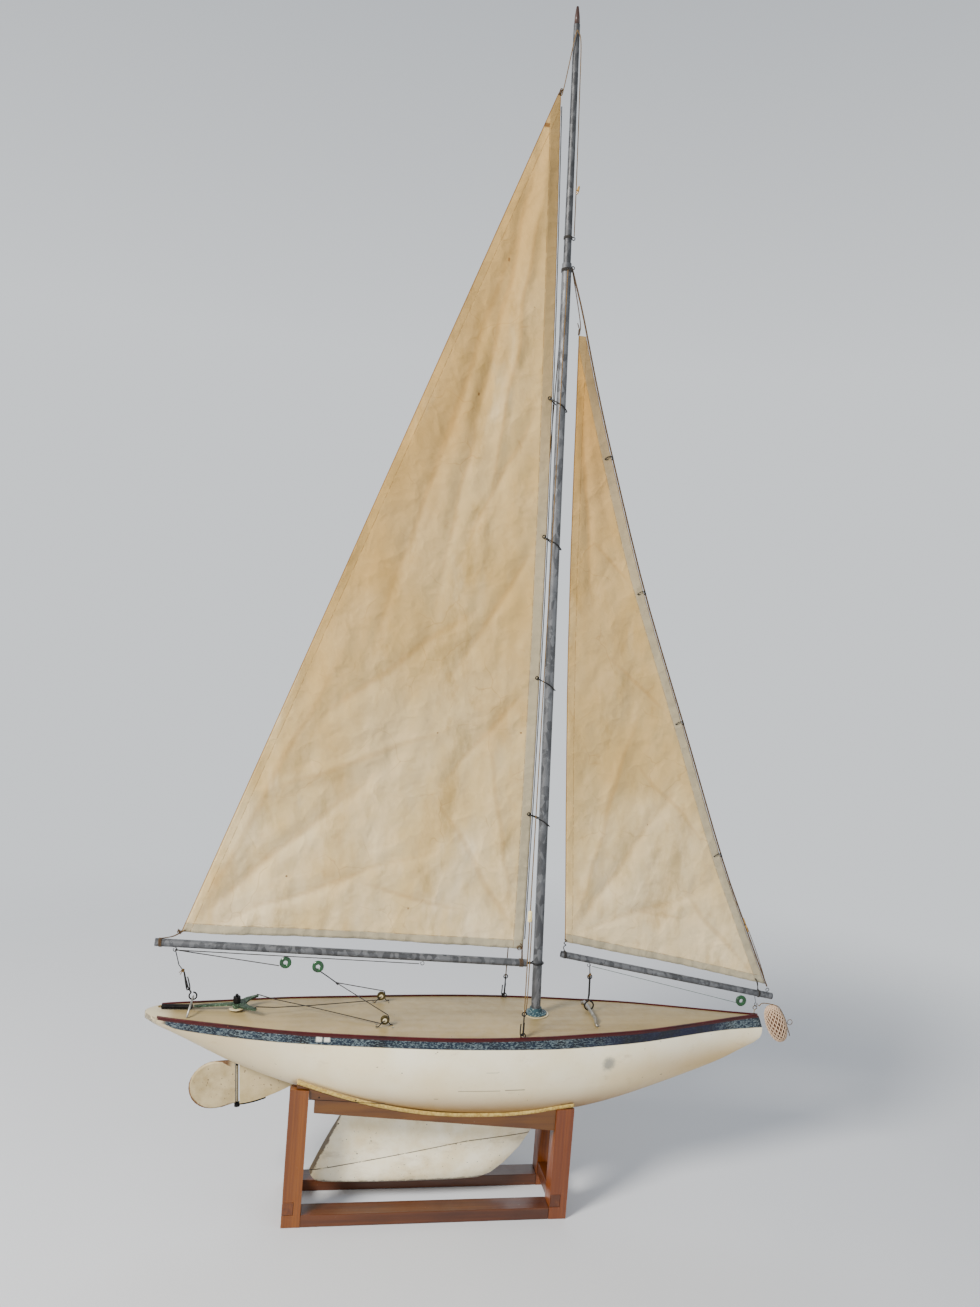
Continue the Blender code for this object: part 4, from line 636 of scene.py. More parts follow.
def cloth_material():
    """Aged cotton: woven, stained and with painted shade along its creases, with folded and stitched edges.
    """
    g = Graph("aged_sailcloth")
    x, _, z = g.parts
    crease, luff, foot, leech = (g.attribute(name) for name in SAIL_VALUES)
    g.start(g.blot(0.34, 0.66, 6.5, (1, 1, 0.6), 5, 0.6), (222, 208, 180), (202, 182, 146))
    g.tint(g.blot(0.5, 0.74, 11, (1, 1, 0.45), 5, 0.62, 4.0), (180, 154, 114), 0.6)
    g.tint(g.span(z, 0.42, 0.85), (178, 154, 114), 0.62)
    g.tint(g.times(g.span(z, 0.95, 1.25), g.span(x, 0.035, 0.065)), (168, 128, 76), 0.8)
    g.tint(g.times(g.span(leech, 0.16, 0.01), g.span(z, 0.55, 1.15)), (184, 156, 116), 0.5)
    g.tint(g.blot(0.58, 0.78, 34, (1, 1, 0.7), 4, 0.65, 8.0), (168, 142, 104), 0.3)
    g.tint(g.blot(0.55, 0.75, 9, (1.2, 1, 0.4), 4, 0.6, 12.0), (232, 224, 204), 0.5)
    # Browner in the deep of each crease: partly stain, partly painted shade.
    g.tint(g.span(crease, 0.15, 1.0), (146, 112, 70), 0.22)
    # Olive-grey patches streaked up the sail: painted shade of soft folds.
    g.tint(g.blot(0.52, 0.7, 17, (1, 1, 0.4), 6, 0.7, 21.0), (150, 130, 92), 0.42)
    drift = g.node("ShaderNodeTexNoise", {"Vector": g.place, "Scale": 16.0, "Detail": 3.0}).outputs["Color"]
    warped = g.node("ShaderNodeVectorMath", {0: drift, 1: (0.055,) * 3, 2: g.place},
        operation="MULTIPLY_ADD").outputs["Vector"]

    def cracks(scale, **settings):
        cells = g.node("ShaderNodeTexVoronoi", {"Vector": warped, "Scale": scale}, **settings)
        return cells.outputs["Distance"]

    # Fine dark lines along the crumple cracks: partly dirt in the creases, partly painted shade.
    seam = g.span(cracks(15.0, feature="DISTANCE_TO_EDGE"), 0.018, 0.0)
    g.tint(g.times(seam, g.blot(0.5, 0.6, 13, detail=2, shift=31.0)), (138, 104, 62), 0.22)
    grey = g.mix(g.span(z, 0.8, 1.45), (164, 160, 146), (132, 116, 90))
    luff_hem, foot_hem = g.span(luff, 0.0165, 0.0135), g.span(foot, 0.0135, 0.0115)
    g.tint(luff_hem, grey, 0.8)
    g.tint(foot_hem, grey, 0.82)
    g.tint(g.span(leech, 0.0125, 0.012), (196, 168, 124), 0.08)
    stitches = [g.span(g.maths("ABSOLUTE", g.less(distance, at)), 0.0006, 0.0003)
        for distance, at in ((luff, 0.015), (foot, 0.0125), (leech, 0.0122))]
    stitch = g.most(g.most(stitches[0], stitches[1]), stitches[2])
    g.tint(g.times(stitch, g.blot(0.42, 0.5, 140, detail=1, shift=2.0)), (120, 92, 60), 0.45)
    g.tint(g.most(g.span(leech, 0.0017, 0.001), g.span(luff, 0.0012, 0.0007)), (112, 84, 54), 0.8)
    g.tint(g.blot(0.815, 0.835, 90, detail=1, rough=0.4, shift=6.0), (96, 66, 40), 0.8)
    for low, high in SAIL_STAINS:
        g.tint(g.patch(low, high), (104, 70, 42), 0.8)
    warp, weft = (g.node("ShaderNodeTexWave", {"Vector": g.place, "Scale": 520.0, "Distortion": 0.6},
            bands_direction=axis).outputs["Fac"] for axis in "XZ")
    weave = g.times(g.plus(warp, weft), 0.5)
    g.tint(g.span(weave, 0.2, 0.8, 0.0, 0.1), (150, 122, 84))
    height = g.plus(g.times(weave, 0.25), g.noise(70, (1, 1, 0.6), 5, 0.65, 3.0))
    for scale, depth in ((11.0, 9.0), (27.0, 4.5), (70.0, 1.4)):
        height = g.plus(height, g.times(cracks(scale), depth))
    height = g.plus(height, g.times(g.plus(luff_hem, foot_hem), 0.35))
    g.bump(g.less(height, stitch), 0.55, 0.0016)
    return g.finish(0.88, Sheen_Weight=0.08, Specular_IOR_Level=0.25)


ENAMEL = hull_material()
DECK_PAINT = deck_material()
KEEL_PAINT = keel_material()
BLADE_PAINT = blade_material()
SKEG_PAINT = worn_paint("skeg_enamel", (196, 184, 158), (170, 156, 126), (90, 72, 54))
MAROON = worn_paint("gunwale_enamel", (80, 10, 14), (54, 4, 8), (120, 84, 70), 0.7, (0.28, 0.42))
WOOD_BOARD = wood("varnished_wood_boards", 0, (108, 78, 26), (84, 56, 14))
# The low rails get a darker copy of the stand's wood: painted shade.
SHADED_WOOD_RAIL = wood("varnished_wood_rails_painted_shade", 0, (102, 66, 20), (76, 46, 10))
WOOD_Y = wood("varnished_wood_crosswise", 1, (116, 76, 28), (88, 54, 16))
WOOD_Z = wood("varnished_wood_upright", 2, (136, 93, 32), (108, 70, 18))
WOOD_RED = wood("varnished_wood_red", 2, (132, 86, 36), (106, 64, 22))
BARE_WOOD = wood("bare_wood", 2, (176, 136, 92), (128, 88, 54), 0.55)
TIP_WOOD = wood("masthead_wood", 2, (72, 44, 24), (40, 24, 13), 0.5)
ZINC = galvanised("galvanised_tube", 1.0, 0.3)
ZINC_DULL = galvanised("dull_galvanised_tube", 0.8, 0.1)
BRASS = metal("old_brass", (124, 106, 72), (82, 70, 48), (54, 60, 46), 0.42)
SHEAVE = metal("sheave_brass", (104, 96, 72), (70, 62, 44), (40, 34, 26), 0.45, 0.6, 200.0)
VERDIGRIS = metal("verdigris", (86, 100, 84), (50, 62, 52), (120, 140, 122), 0.6, 0.45, 160.0, 0.58)
TEAL = metal("collar_verdigris", (78, 100, 106), (52, 70, 78), (136, 148, 146), 0.55, 0.4, 160.0, 0.56)
BLACK_METAL = metal("blackened_metal", (34, 34, 36), (54, 52, 50), (92, 78, 62), 0.45, 0.8, 160.0, 0.66)
STEEL = metal("pale_steel", (176, 174, 168), (138, 134, 126), (92, 74, 56), 0.4, 0.85, 160.0, 0.66)
WIRE = metal("dark_wire", (30, 28, 26), (18, 17, 17), (66, 54, 40), 0.55, 0.35, 300.0)
CORD = thread("tan_cord", (128, 106, 72), (86, 68, 44))
STAY = thread("brown_cord", (96, 76, 48), (64, 49, 31))
DARK_CORD = thread("dark_cord", (52, 47, 40), (30, 27, 24))
YARN = thread("crochet_yarn", (208, 190, 172), (180, 158, 138), 700.0)
# Darker than the yarn: partly the stuffing's own pinkish colour, partly painted shade inside the net.
YARN_BACK = thread("crochet_shade", (124, 100, 84), (98, 76, 62), 500.0)
FELT = thread("pad_felt", (194, 176, 130), (164, 142, 98), 260.0, 0.92)
GREEN = plastic("green_bowsie", (12, 84, 52), (6, 58, 36))
BONE = plastic("bone_bowsie", (236, 224, 186), (214, 194, 146))
TAN = plastic("tan_bowsie", (172, 146, 104), (128, 102, 66))
CLOTH = cloth_material()
GAP_DARK = worn_paint("joint_shadow", (46, 26, 14), (30, 16, 10), (70, 40, 22))
GRIME = worn_paint("deck_ring", (214, 206, 184), (186, 172, 142), (120, 104, 80))


# ==================== studio
def build_camera():
    ahead = Vector((math.sin(CAMERA_YAW), math.cos(CAMERA_YAW), 0))
    right = Vector((math.cos(CAMERA_YAW), -math.sin(CAMERA_YAW), 0))
    look = ahead * math.cos(CAMERA_PITCH) - Vector((0, 0, math.sin(CAMERA_PITCH)))
    up = Vector((0, 0, math.cos(CAMERA_PITCH))) + ahead * math.sin(CAMERA_PITCH)
    across = right * math.cos(CAMERA_ROLL) + up * math.sin(CAMERA_ROLL)
    above = up * math.cos(CAMERA_ROLL) - right * math.sin(CAMERA_ROLL)
    data = bpy.data.cameras.new("camera")
    data.lens, data.sensor_width = LENS, SENSOR
    camera = placed("camera", data)
    turn = Matrix((across, above, -look)).transposed().to_4x4()
    camera.matrix_world = Matrix.Translation(CAMERA_SPOT) @ turn
    bpy.context.scene.camera = camera


def area_light(name, spot, target, width, power, colour):
    data = bpy.data.lights.new(name, "AREA")
    data.shape = "DISK"
    data.size = width
    data.energy = power
    data.color = colour
    lamp = placed(name, data)
    lamp.location = spot
    lamp.rotation_euler = (Vector(target) - Vector(spot)).to_track_quat("-Z", "Y").to_euler()


def build_studio():
    world = bpy.data.worlds.new("studio")
    world.use_nodes = True
    tree = world.node_tree
    back = tree.nodes["Background"]
    up = tree.nodes.new("ShaderNodeSeparateXYZ")
    tree.links.new(tree.nodes.new("ShaderNodeTexCoord").outputs["Generated"], up.inputs[0])
    rise = tree.nodes.new("ShaderNodeMapRange")
    rise.inputs["From Min"].default_value = 0.25
    rise.inputs["From Max"].default_value = 0.85
    tree.links.new(up.outputs["Z"], rise.inputs["Value"])
    blend = tree.nodes.new("ShaderNodeMix")
    blend.data_type = "RGBA"
    tree.links.new(rise.outputs["Result"], blend.inputs[0])
    blend.inputs[6].default_value = SKY_LOW
    blend.inputs[7].default_value = SKY_HIGH
    tree.links.new(blend.outputs[2], back.inputs["Color"])
    bpy.context.scene.world = world
    bm = bmesh.new()
    bmesh.ops.create_circle(bm, cap_ends=True, segments=96, radius=FLOOR_R)
    floor = placed("floor", mesh_of("floor", bm, False))
    floor.location.z = FLOOR_Z
    g = Graph("floor_cloth")
    g.start(g.noise(1.5, detail=3), (0.61, 0.62, 0.64, 1.0), (0.55, 0.57, 0.6, 1.0))
    g.bump(g.noise(260, detail=3), 0.2, 0.001)
    away = g.node("ShaderNodeVectorMath", {0: g.place}, operation="LENGTH").outputs["Value"]
    g.put(g.shader.inputs["Alpha"], g.span(away, FLOOR_R, FLOOR_R * 0.45))   # fades out at its rim
    floor.data.materials.append(g.finish(0.9))
    for lamp in LAMPS:
        area_light(*lamp)


# ==================== hull, deck and gunwale
def build_hull():
    bm = bmesh.new()
    rows, bands, depths = [], [], []
    steps = 22
    for x in stations(STERN_X + 0.0002, STEM_X, 150):
        beam, low, sheer = half_beam(x), line_value(KEEL_LINE, x), sheer_z(x)
        power = line_value(FULLNESS_LINE, x)
        top = sheer - DECK_BELOW_SHEER
        rim = math.asin(min(DECK_BELOW_SHEER / (sheer - low), 0.9) ** (power / 2))
        ring = []
        for i in range(2 * steps + 1):
            a = rim + (math.pi - 2 * rim) * i / (2 * steps)
            y = -beam * abs(math.cos(a)) ** (2 / power) * (1 if i < steps else -1)
            depth = abs(math.sin(a)) ** (2 / power)
            ring.append((x + stem_lean(x, depth), 0.0 if i == steps else y, sheer - (sheer - low) * depth))
        lip = min(0.0009, beam * 0.3)
        port_y, starboard_y = ring[-1][1] - lip, ring[0][1] + lip
        ring += [(x, port_y, top), (x, port_y, top - 0.0012), (x, starboard_y, top - 0.0012),
            (x, starboard_y, top)]
        rows.append([bm.verts.new(p) for p in ring])
        bands += [p[2] - line_value(BAND_LINE, p[0]) for p in ring]
        depths += [top - p[2] for p in ring]
    bridge(bm, rows)
    mesh = mesh_of("hull_look", bm)
    mesh.attributes.new("band", "FLOAT", "POINT").data.foreach_set("value", bands)
    mesh.attributes.new("below_deck", "FLOAT", "POINT").data.foreach_set("value", depths)
    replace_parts(new_object("hull_look", mesh, "hull", ENAMEL, 40), "hull_shell")


def build_deck():
    bm = bmesh.new()
    rows = []
    for x in stations(STERN_X + 0.001, STEM_X, 120):
        beam = max(half_beam(x) - 0.0009, 0.0005)
        ys = [-beam + 2 * beam * i / 16 for i in range(17)]
        top = [(x, y, deck_z(x, y)) for y in ys]
        rows.append([bm.verts.new(p) for p in top + [(px, py, pz - 0.001) for px, py, pz in reversed(top)]])
    bridge(bm, rows)
    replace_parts(made("deck_look", bm, "hull", DECK_PAINT, "deck_paint", 40), "deck")


def build_gunwale():
    def strip_ring(x, side):
        outer = half_beam(x) + 0.0003
        inner = max(outer - STRIP[2], 0.0012)
        low = deck_z(x, inner) + 0.0002
        high = max(deck_z(x, half_beam(x)) + STRIP[3], low + 0.0008)
        ease = 0.0006
        points = [(outer, low - 0.0006), (outer, high - ease), (outer - ease, high), (inner + ease, high),
            (inner, high - ease), (inner, low)]
        return [(x, side * y, z) for y, z in points]

    bm = bmesh.new()
    line = stations(STRIP[0], STRIP[1], 110)
    nose = [(px + 0.0022 - 0.0034 * (y < 0.0014), 0.0, z) for px, y, z in strip_ring(STRIP[1], 1)]
    rings = [strip_ring(x, -1) for x in line] + [nose] + [strip_ring(x, 1) for x in reversed(line)]
    bridge(bm, [[bm.verts.new(p) for p in ring] for ring in rings])
    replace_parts(made("gunwale_look", bm, "hull", MAROON, "rail_paint", 40), "gunwale_strip")


# ==================== keel, skeg, rudder, spars, stand and metalwork, from the CAD nodes
DRESSED = (("stand", "stand_wood", WOOD_Z, 0.0, ("starboard_aft_post", "port_aft_post")),
    ("stand", "stand_wood", WOOD_RED, 0.0, ("starboard_forward_post", "port_forward_post")),
    ("stand", "stand_wood", SHADED_WOOD_RAIL, 0.0009, ("starboard_bottom_rail", "port_bottom_rail")),
    ("stand", "stand_wood", WOOD_BOARD, 0.0009, ("starboard_cradle_board", "port_cradle_board")),
    ("stand", "stand_wood", WOOD_Y, 0.0008, ("aft_cross_rail", "forward_cross_rail", "forward_upper_rail")),
    ("hull", "hull_paint", KEEL_PAINT, 0.0006, ("keel_fin",)),
    ("hull", "lead", KEEL_PAINT, 0.001, ("lead_ballast",)),
    ("hull", "hull_paint", SKEG_PAINT, 0.0005, ("skeg",)),
    ("hull", "galvanised", ZINC, 0.0003, ("mast_lower",)),
    ("hull", "galvanised", ZINC_DULL, 0.0003, ("mast_upper",)),
    ("hull", "bare_wood", TIP_WOOD, 0.0, ("mast_tip",)),
    ("hull", "verdigris", TEAL, 0.0004, ("mast_collar",)),
    ("hull", "brass", BRASS, 0.0, ("bow_eye", "rudder_tube")),
    ("hull", "brass", STEEL, 0.0, ("jib_horse", "stern_horse")),
    ("hull", "wire", BLACK_METAL, 0.0, ("centring_tube", "heel_strap")),
    ("hull", "wire", WIRE, 0.0, ("port_sheave_bracket", "starboard_sheave_bracket")),
    ("hull", "cream_bowsie", BONE, 0.0003, ("shroud_bowsie",)),
    ("rudder", "brass", BLACK_METAL, 0.0, ("rudder_stock",)),
    ("rudder", "verdigris", VERDIGRIS, 0.0004, ("quadrant",)),
    ("rudder", "verdigris", BLACK_METAL, 0.0002, ("quadrant_cap",)),
    ("port_sheave", "brass", SHEAVE, 0.0002, ("port_sheave",)),
    ("starboard_sheave", "brass", SHEAVE, 0.0002, ("starboard_sheave",)),
    ("main_boom", "galvanised", ZINC, 0.0004, ("main_boom",)),
    ("main_boom", "wire", WIRE, 0.0, ("gooseneck_loop",)),
    ("main_boom", "cord", DARK_CORD, 0.0, ("main_sheet",)),
    ("main_boom", "green_bowsie", GREEN, 0.0003, ("main_sheet_bowsie", "steering_bowsie")),
    ("jib_boom", "galvanised", ZINC, 0.0004, ("jib_boom",)),
    ("jib_boom", "green_bowsie", GREEN, 0.0003, ("jib_sheet_bowsie",)),
    ("jib_boom", "cord", STAY, 0.0, ("forestay",)), )


def build_dressed():
    for body, slot, finish, bevel, names in DRESSED:
        for name in names:
            dress(name, body, finish, bevel, 60 if bevel == 0.0 else 35, WIRE_SWELL.get(name, 0.0))
    for name, finish in (("mast_block", BARE_WOOD), ("keel_bolt_aft", BRASS), ("keel_bolt_forward", BRASS)):
        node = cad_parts[name]
        node.data.materials.clear()
        node.data.materials.append(finish)
    dress("rudder_blade", "rudder", BLADE_PAINT)
    for name in ("port_shroud", "starboard_shroud"):
        shroud = dress(name, "hull", [CORD, WIRE], 0.0, 60, SHROUD_SWELL)
        for face in shroud.data.polygons:
            face.material_index = int(face.center.z < SHROUD_HOOK_TOP)


# ==================== sails
def main_luff(t):
    x, z = mid(MAIN_TACK, MAIN_HEAD, t)
    return x + 0.008 * math.sin(math.pi * t), z


def main_leech(t):
    return mid(MAIN_CLEW, (MAIN_HEAD[0] - HEAD_WIDTH, MAIN_HEAD[1]), t)


def jib_luff(t):
    z = JIB_TACK[1] + t * (JIB_HEAD[1] - JIB_TACK[1])
    straight = JIB_TACK[0] + t * (JIB_HEAD[0] - JIB_TACK[0])
    stay = line_value(sorted((p[1], p[0]) for p in FORESTAY), z)
    return min(stay - 0.002, straight + 0.02), z


def jib_leech(t):
    x, z = mid(JIB_CLEW, (JIB_HEAD[0] - HEAD_WIDTH, JIB_HEAD[1]), t)
    return x - 0.0055 * math.sin(math.pi * t), z


CLOTH_FOLDS = ((9, 5, 0.0046), (24, 11, 0.0026), (58, 34, 0.0011))  # across, up, depth of the soft folds
CREASE_RISE = 2.4
CLOTH_THICKNESS = 0.0005
MAIN_CREASES = (  # from, to, height, width
    ((-0.44, 0.4), (-0.18, 0.64), 0.0016, 0.012), ((-0.436, 0.398), (-0.1, 0.52), 0.0013, 0.01),
    ((-0.43, 0.4), (-0.25, 0.8), -0.0012, 0.013), ((0.04, 0.39), (-0.1, 0.6), 0.0014, 0.011),
    ((0.03, 0.4), (-0.03, 0.7), -0.0012, 0.01), ((-0.02, 1.56), (-0.12, 0.9), 0.0016, 0.01),
    ((-0.008, 1.54), (-0.06, 0.98), -0.0013, 0.008), ((-0.03, 1.48), (-0.2, 0.84), 0.0013, 0.012),
    ((0.01, 1.18), (-0.09, 0.96), 0.0012, 0.009), ((0.02, 0.978), (-0.09, 0.78), 0.0013, 0.009),
    ((0.03, 0.772), (-0.11, 0.6), 0.0012, 0.009), ((-0.33, 0.6), (-0.09, 0.7), -0.001, 0.012),
    ((-0.28, 0.7), (-0.06, 0.88), 0.0009, 0.012), ((-0.2, 0.47), (-0.04, 0.43), 0.0011, 0.009))
JIB_CREASES = (((0.115, 0.4), (0.26, 0.62), 0.0014, 0.011), ((0.118, 0.402), (0.2, 0.76), -0.0011, 0.01),
    ((0.115, 0.398), (0.33, 0.48), 0.0012, 0.01), ((0.33, 0.54), (0.2, 0.66), 0.0013, 0.009),
    ((0.25, 0.735), (0.14, 0.82), 0.0013, 0.009), ((0.175, 0.925), (0.1, 0.99), 0.0011, 0.008),
    ((0.058, 1.25), (0.11, 0.9), 0.0012, 0.008), ((0.41, 0.35), (0.28, 0.48), -0.0012, 0.01),
    ((0.3, 0.43), (0.2, 0.44), 0.001, 0.008))


def crease_at(x, z, creases):
    """Height of the creases at a point, and how deep in one it lies."""
    height = depth = 0.0
    for (x0, z0), (x1, z1), rise, width in creases:
        dx, dz = x1 - x0, z1 - z0
        t = ((x - x0) * dx + (z - z0) * dz) / (dx * dx + dz * dz)
        if not -0.15 < t < 1.15:
            continue
        off = ((x - x0) * dz - (z - z0) * dx) / math.hypot(dx, dz)
        off += 0.006 * noise.noise(Vector((x * 14, z * 14, width * 900)))
        fade = math.sin(math.pi * (t + 0.15) / 1.3) ** 0.8
        shape = math.exp(-(off / width) ** 2) * fade
        height += rise * CREASE_RISE * shape
        depth = max(depth, math.exp(-(off / (width * 0.45)) ** 2) * fade)
    return height, depth


def build_sail(name, node, body, fore, aft, columns, rows, belly, creases, seed, slack):
    """Fine grid between the two edge curves, bellied, creased and puckered, with edge distances."""
    bm = bmesh.new()
    grid, values = [], []
    for j in range(rows + 1):
        t = j / rows
        f, a = fore(t), aft(t)
        width = math.hypot(f[0] - a[0], f[1] - a[1])
        row = []
        for i in range(columns + 1):
            u = i / columns
            x, z = mid(f, a, u)
            z += slack * math.sin(math.pi * u) ** 2 * (1 - t) ** 6
            tall = z - mid(fore(0.0), aft(0.0), u)[1]
            rise, depth = crease_at(x, z, creases)
            bag = belly * math.sin(math.pi * u ** 0.75) * math.sin(math.pi * min(t + 0.1, 1.0)) ** 0.6
            soft = sum(noise.noise(Vector((x * across, z * up, seed))) * deep
                for across, up, deep in CLOTH_FOLDS)
            pucker = 0.0006 * math.sin(z * 330 + 2 * math.sin(z * 40)) * math.exp(-(u * width / 0.018) ** 2)
            pucker += 0.0007 * math.sin(x * 300) * math.exp(-(tall / 0.018) ** 2)
            ease = min(1.0, u * width / 0.03) * min(1.0, (1 - u) * width / 0.02 + 0.4)
            row.append(bm.verts.new((x, bag + (soft + rise) * ease + pucker, z)))
            values.append((depth * ease, u * width, tall, (1 - u) * width))
        grid.append(row)
    bridge(bm, grid, closed_ring=False, caps=False)
    mesh = mesh_of(name, bm)
    for index, key in enumerate(SAIL_VALUES):
        mesh.attributes.new(key, "FLOAT", "POINT").data.foreach_set("value", [v[index] for v in values])
    area = sum(p.area for p in mesh.polygons)
    obj = new_object(name, mesh, body, CLOTH, 80)
    thick = obj.modifiers.new("cloth_thickness", "SOLIDIFY")
    thick.thickness = CLOTH_THICKNESS
    thick.offset = 0.0
    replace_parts(obj, node)
    return obj, area


def build_sails():
    main, area = build_sail("mainsail_cloth", "mainsail", "main_boom", main_luff, main_leech, 110, 280,
        0.006, MAIN_CREASES, 3.7, 0.0015)
    jib, area = build_sail("jib_cloth", "jib", "jib_boom", jib_luff, jib_leech, 80, 220,
        0.0045, JIB_CREASES, 8.2, 0.001)


# ==================== lines that cross a joint
def running_line(name, path, radii, bodies, start, end, finish, slot="cord", node=None):
    bm = bmesh.new()
    sweep(bm, path, radii)
    obj = made(name, bm, None, finish, slot)
    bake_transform(obj)
    if node:
        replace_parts(obj, node)


def knot(bm, centre, size):
    """Small overhand knot: two tight turns of cord with short ends."""
    turns = [(math.cos(a) * size, 0.8 * math.sin(2 * a) * size, math.sin(a) * size)
        for a in [math.tau * i / 16 for i in range(25)]]
    sweep(bm, around(centre, *turns), size * 0.55, 6)
    for tail in ((-2.4, 0.4, -1.6), (-1.4, -0.6, -2.6)):
        end = Vector(tail) * size
        sweep(bm, around(centre, (0, 0, 0), end * 0.6, end * 1.3), size * 0.35, 6)


def build_sheet_drop(sail, body, node, ring, line, line_r, link, link_r, tail, knot_at, knot_size):
    """Sheet from a horse up to its boom: cord, hook, the ring round the horse and a knot."""
    ends = (("hull", body), ring, Vector(line[0]))
    running_line(f"{sail}_sheet_fall", line + link, line_r + [link_r] * len(link), *ends, WIRE, "wire", node)
    running_line(f"{sail}_sheet_{tail[0]}", tail[1], 0.0009, *ends, WIRE, "wire")
    bm = bmesh.new()
    knot(bm, knot_at, knot_size)
    tie = made(f"{sail}_sheet_knot", bm, None, CORD, "cord")
    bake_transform(tie)


def build_lines():
    ring = Vector((HORSE_X + 0.004, 0, HORSE_TOP_Z + 0.0032))
    hook = smooth_path([(-0.4366, 0, 0.3385), (-0.433, 0.0005, 0.32), (-0.431, 0.001, 0.3125),
            (-0.4272, 0.001, 0.314), (-0.4292, 0.0005, 0.324), (-0.4312, 0, 0.331)], 18)
    build_sheet_drop("main", "main_boom", "main_sheet_drop", ring,
        [(-0.45, 0, 0.3685), (-0.4488, 0.0004, 0.365), (-0.444, 0, 0.348), (-0.4375, 0, 0.34),
            (-0.4366, 0, 0.3385), (-0.4334, 0, 0.327), (-0.43, 0, 0.3165)], [LINE_R] * 4 + [0.0012] * 3,
        hoop(ring, 0.0052, 120, 330, 22), 0.0011, ("hook", hook), (-0.4383, 0, 0.3402), 0.0016)
    ring = Vector((JIB_HORSE_X, 0.006, JIB_HORSE_Z + 0.0045))
    build_sheet_drop("jib", "jib_boom", "jib_sheet_drop", ring,
        [(0.1513, 0.0006, 0.356), (0.1522, 0.0012, 0.348), (0.153, 0.0016, 0.34), (0.1533, 0.0018, 0.338),
            (0.1552, 0.0045, 0.308)], [LINE_R] * 3 + [0.0015] * 2, hoop(ring, 0.0068, 110, 330, 22), 0.0012,
        ("eye", hoop((0.1532, 0.0018, 0.337), 0.0032)), (0.1531, 0.0014, 0.3412), 0.0014)

    head = flat(MAIN_HEAD)
    halyard = [mast_point(*at) for at in ((1.4215, 0.009), (1.5, 0.009), (1.64, 0.008),
            (1.69, 0.006, -0.004), (1.701, 0.001, -0.0075), (1.696, -0.003, -0.0064))]
    halyard += around(head, (0.003, -0.0008, 0.004), (-0.001, -0.0006, -0.003))
    running_line("halyard", smooth_path(halyard, 44), LINE_R, ("hull", "main_boom"), mast_point(1.69), head,
        CORD, node="main_halyard")

    lead = GROOVE_R + LINE_R + 0.0004
    eye = flat(BRIDLE_EYE)
    arm = QUADRANT_ON_STOCK + 0.0117
    for side, name in SIDES:
        tip = Vector(rudder_point(arm, -0.0262, side * 0.0232))
        hook_end = Vector((tip.x + 0.0262, side * 0.014, QUADRANT_Z + 0.0005))
        centre = Vector((PULLEY[0], -side * PULLEY[1], PULLEY[2]))
        low = centre + Vector((-0.001, 0, -lead))
        cross = hook_end + (low - hook_end) * 0.35 + Vector((0, 0, 0.0009 * side))
        arc = []
        for degrees in range(20, 156, 9):
            a = math.radians(degrees)
            lift = lead + 0.0022 * max(0.0, (degrees - 100) / 55) ** 2      # clear of the flange
            arc.append(centre + Vector((lift * math.sin(a), 0, -lift * math.cos(a))))
        running_line(name + "_steering_line", [tip, tip + Vector((0.0022, -side * 0.002, 0.0004)), hook_end,
                cross, low], [0.0008, 0.0008, 0.0007, LINE_R, LINE_R],
            ("rudder", "hull"), tip, low, DARK_CORD, node="steering_line" if side < 0 else None)
        running_line(name + "_steering_bridle", [low, *arc, arc[-1].lerp(eye, 0.5), eye], LINE_R,
            ("hull", "main_boom"), arc[-1], eye, DARK_CORD)


# ==================== small fittings
def build_hoops():
    """Rope in the mainsail's luff, and the wire hoops that slant from it round the mast."""
    bm = bmesh.new()
    rope = [flat(main_luff(0.012 + 0.973 * i / 24)) + Vector((0.0016, 0, 0)) for i in range(25)]
    sweep(bm, rope, 0.0007, 8, 1)
    for z in HOOPS:
        luff = (main_luff((z - MAIN_TACK[1]) / (MAIN_HEAD[1] - MAIN_TACK[1]))[0], 0, z)
        mast = (mast_point(z)[0], 0, z)
        route = around(luff, (-0.0035, -0.0012, 0.0105))
        route += around(mast, (-0.006, -0.0078, 0.0045), (0.001, -0.0088, 0.0005), (0.0075, -0.005, -0.0045),
            (0.009, 0.0, -0.0055), (0.007, 0.0055, -0.0035), (0.0, 0.009, 0.001), (-0.006, 0.0078, 0.005))
        route += around(luff, (-0.003, 0.0012, 0.01))
        sweep(bm, smooth_path(route, 44), 0.0009, 6)
        sweep(bm, hoop(around(luff, (-0.0045, -0.0014, 0.0112))[0], 0.0022), 0.0008, 6)
    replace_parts(made("mast_hoops_look", bm, "main_boom", [WIRE, CORD], "wire"), "mast_hoops")


def bead(name, places, radii, body):
    """Small turned bowsie: a bead round a line for each list of places."""
    bm = bmesh.new()
    for path, r in zip(places, radii):
        sweep(bm, path, r, 10)
    made(name, bm, body, TAN, "cream_bowsie")


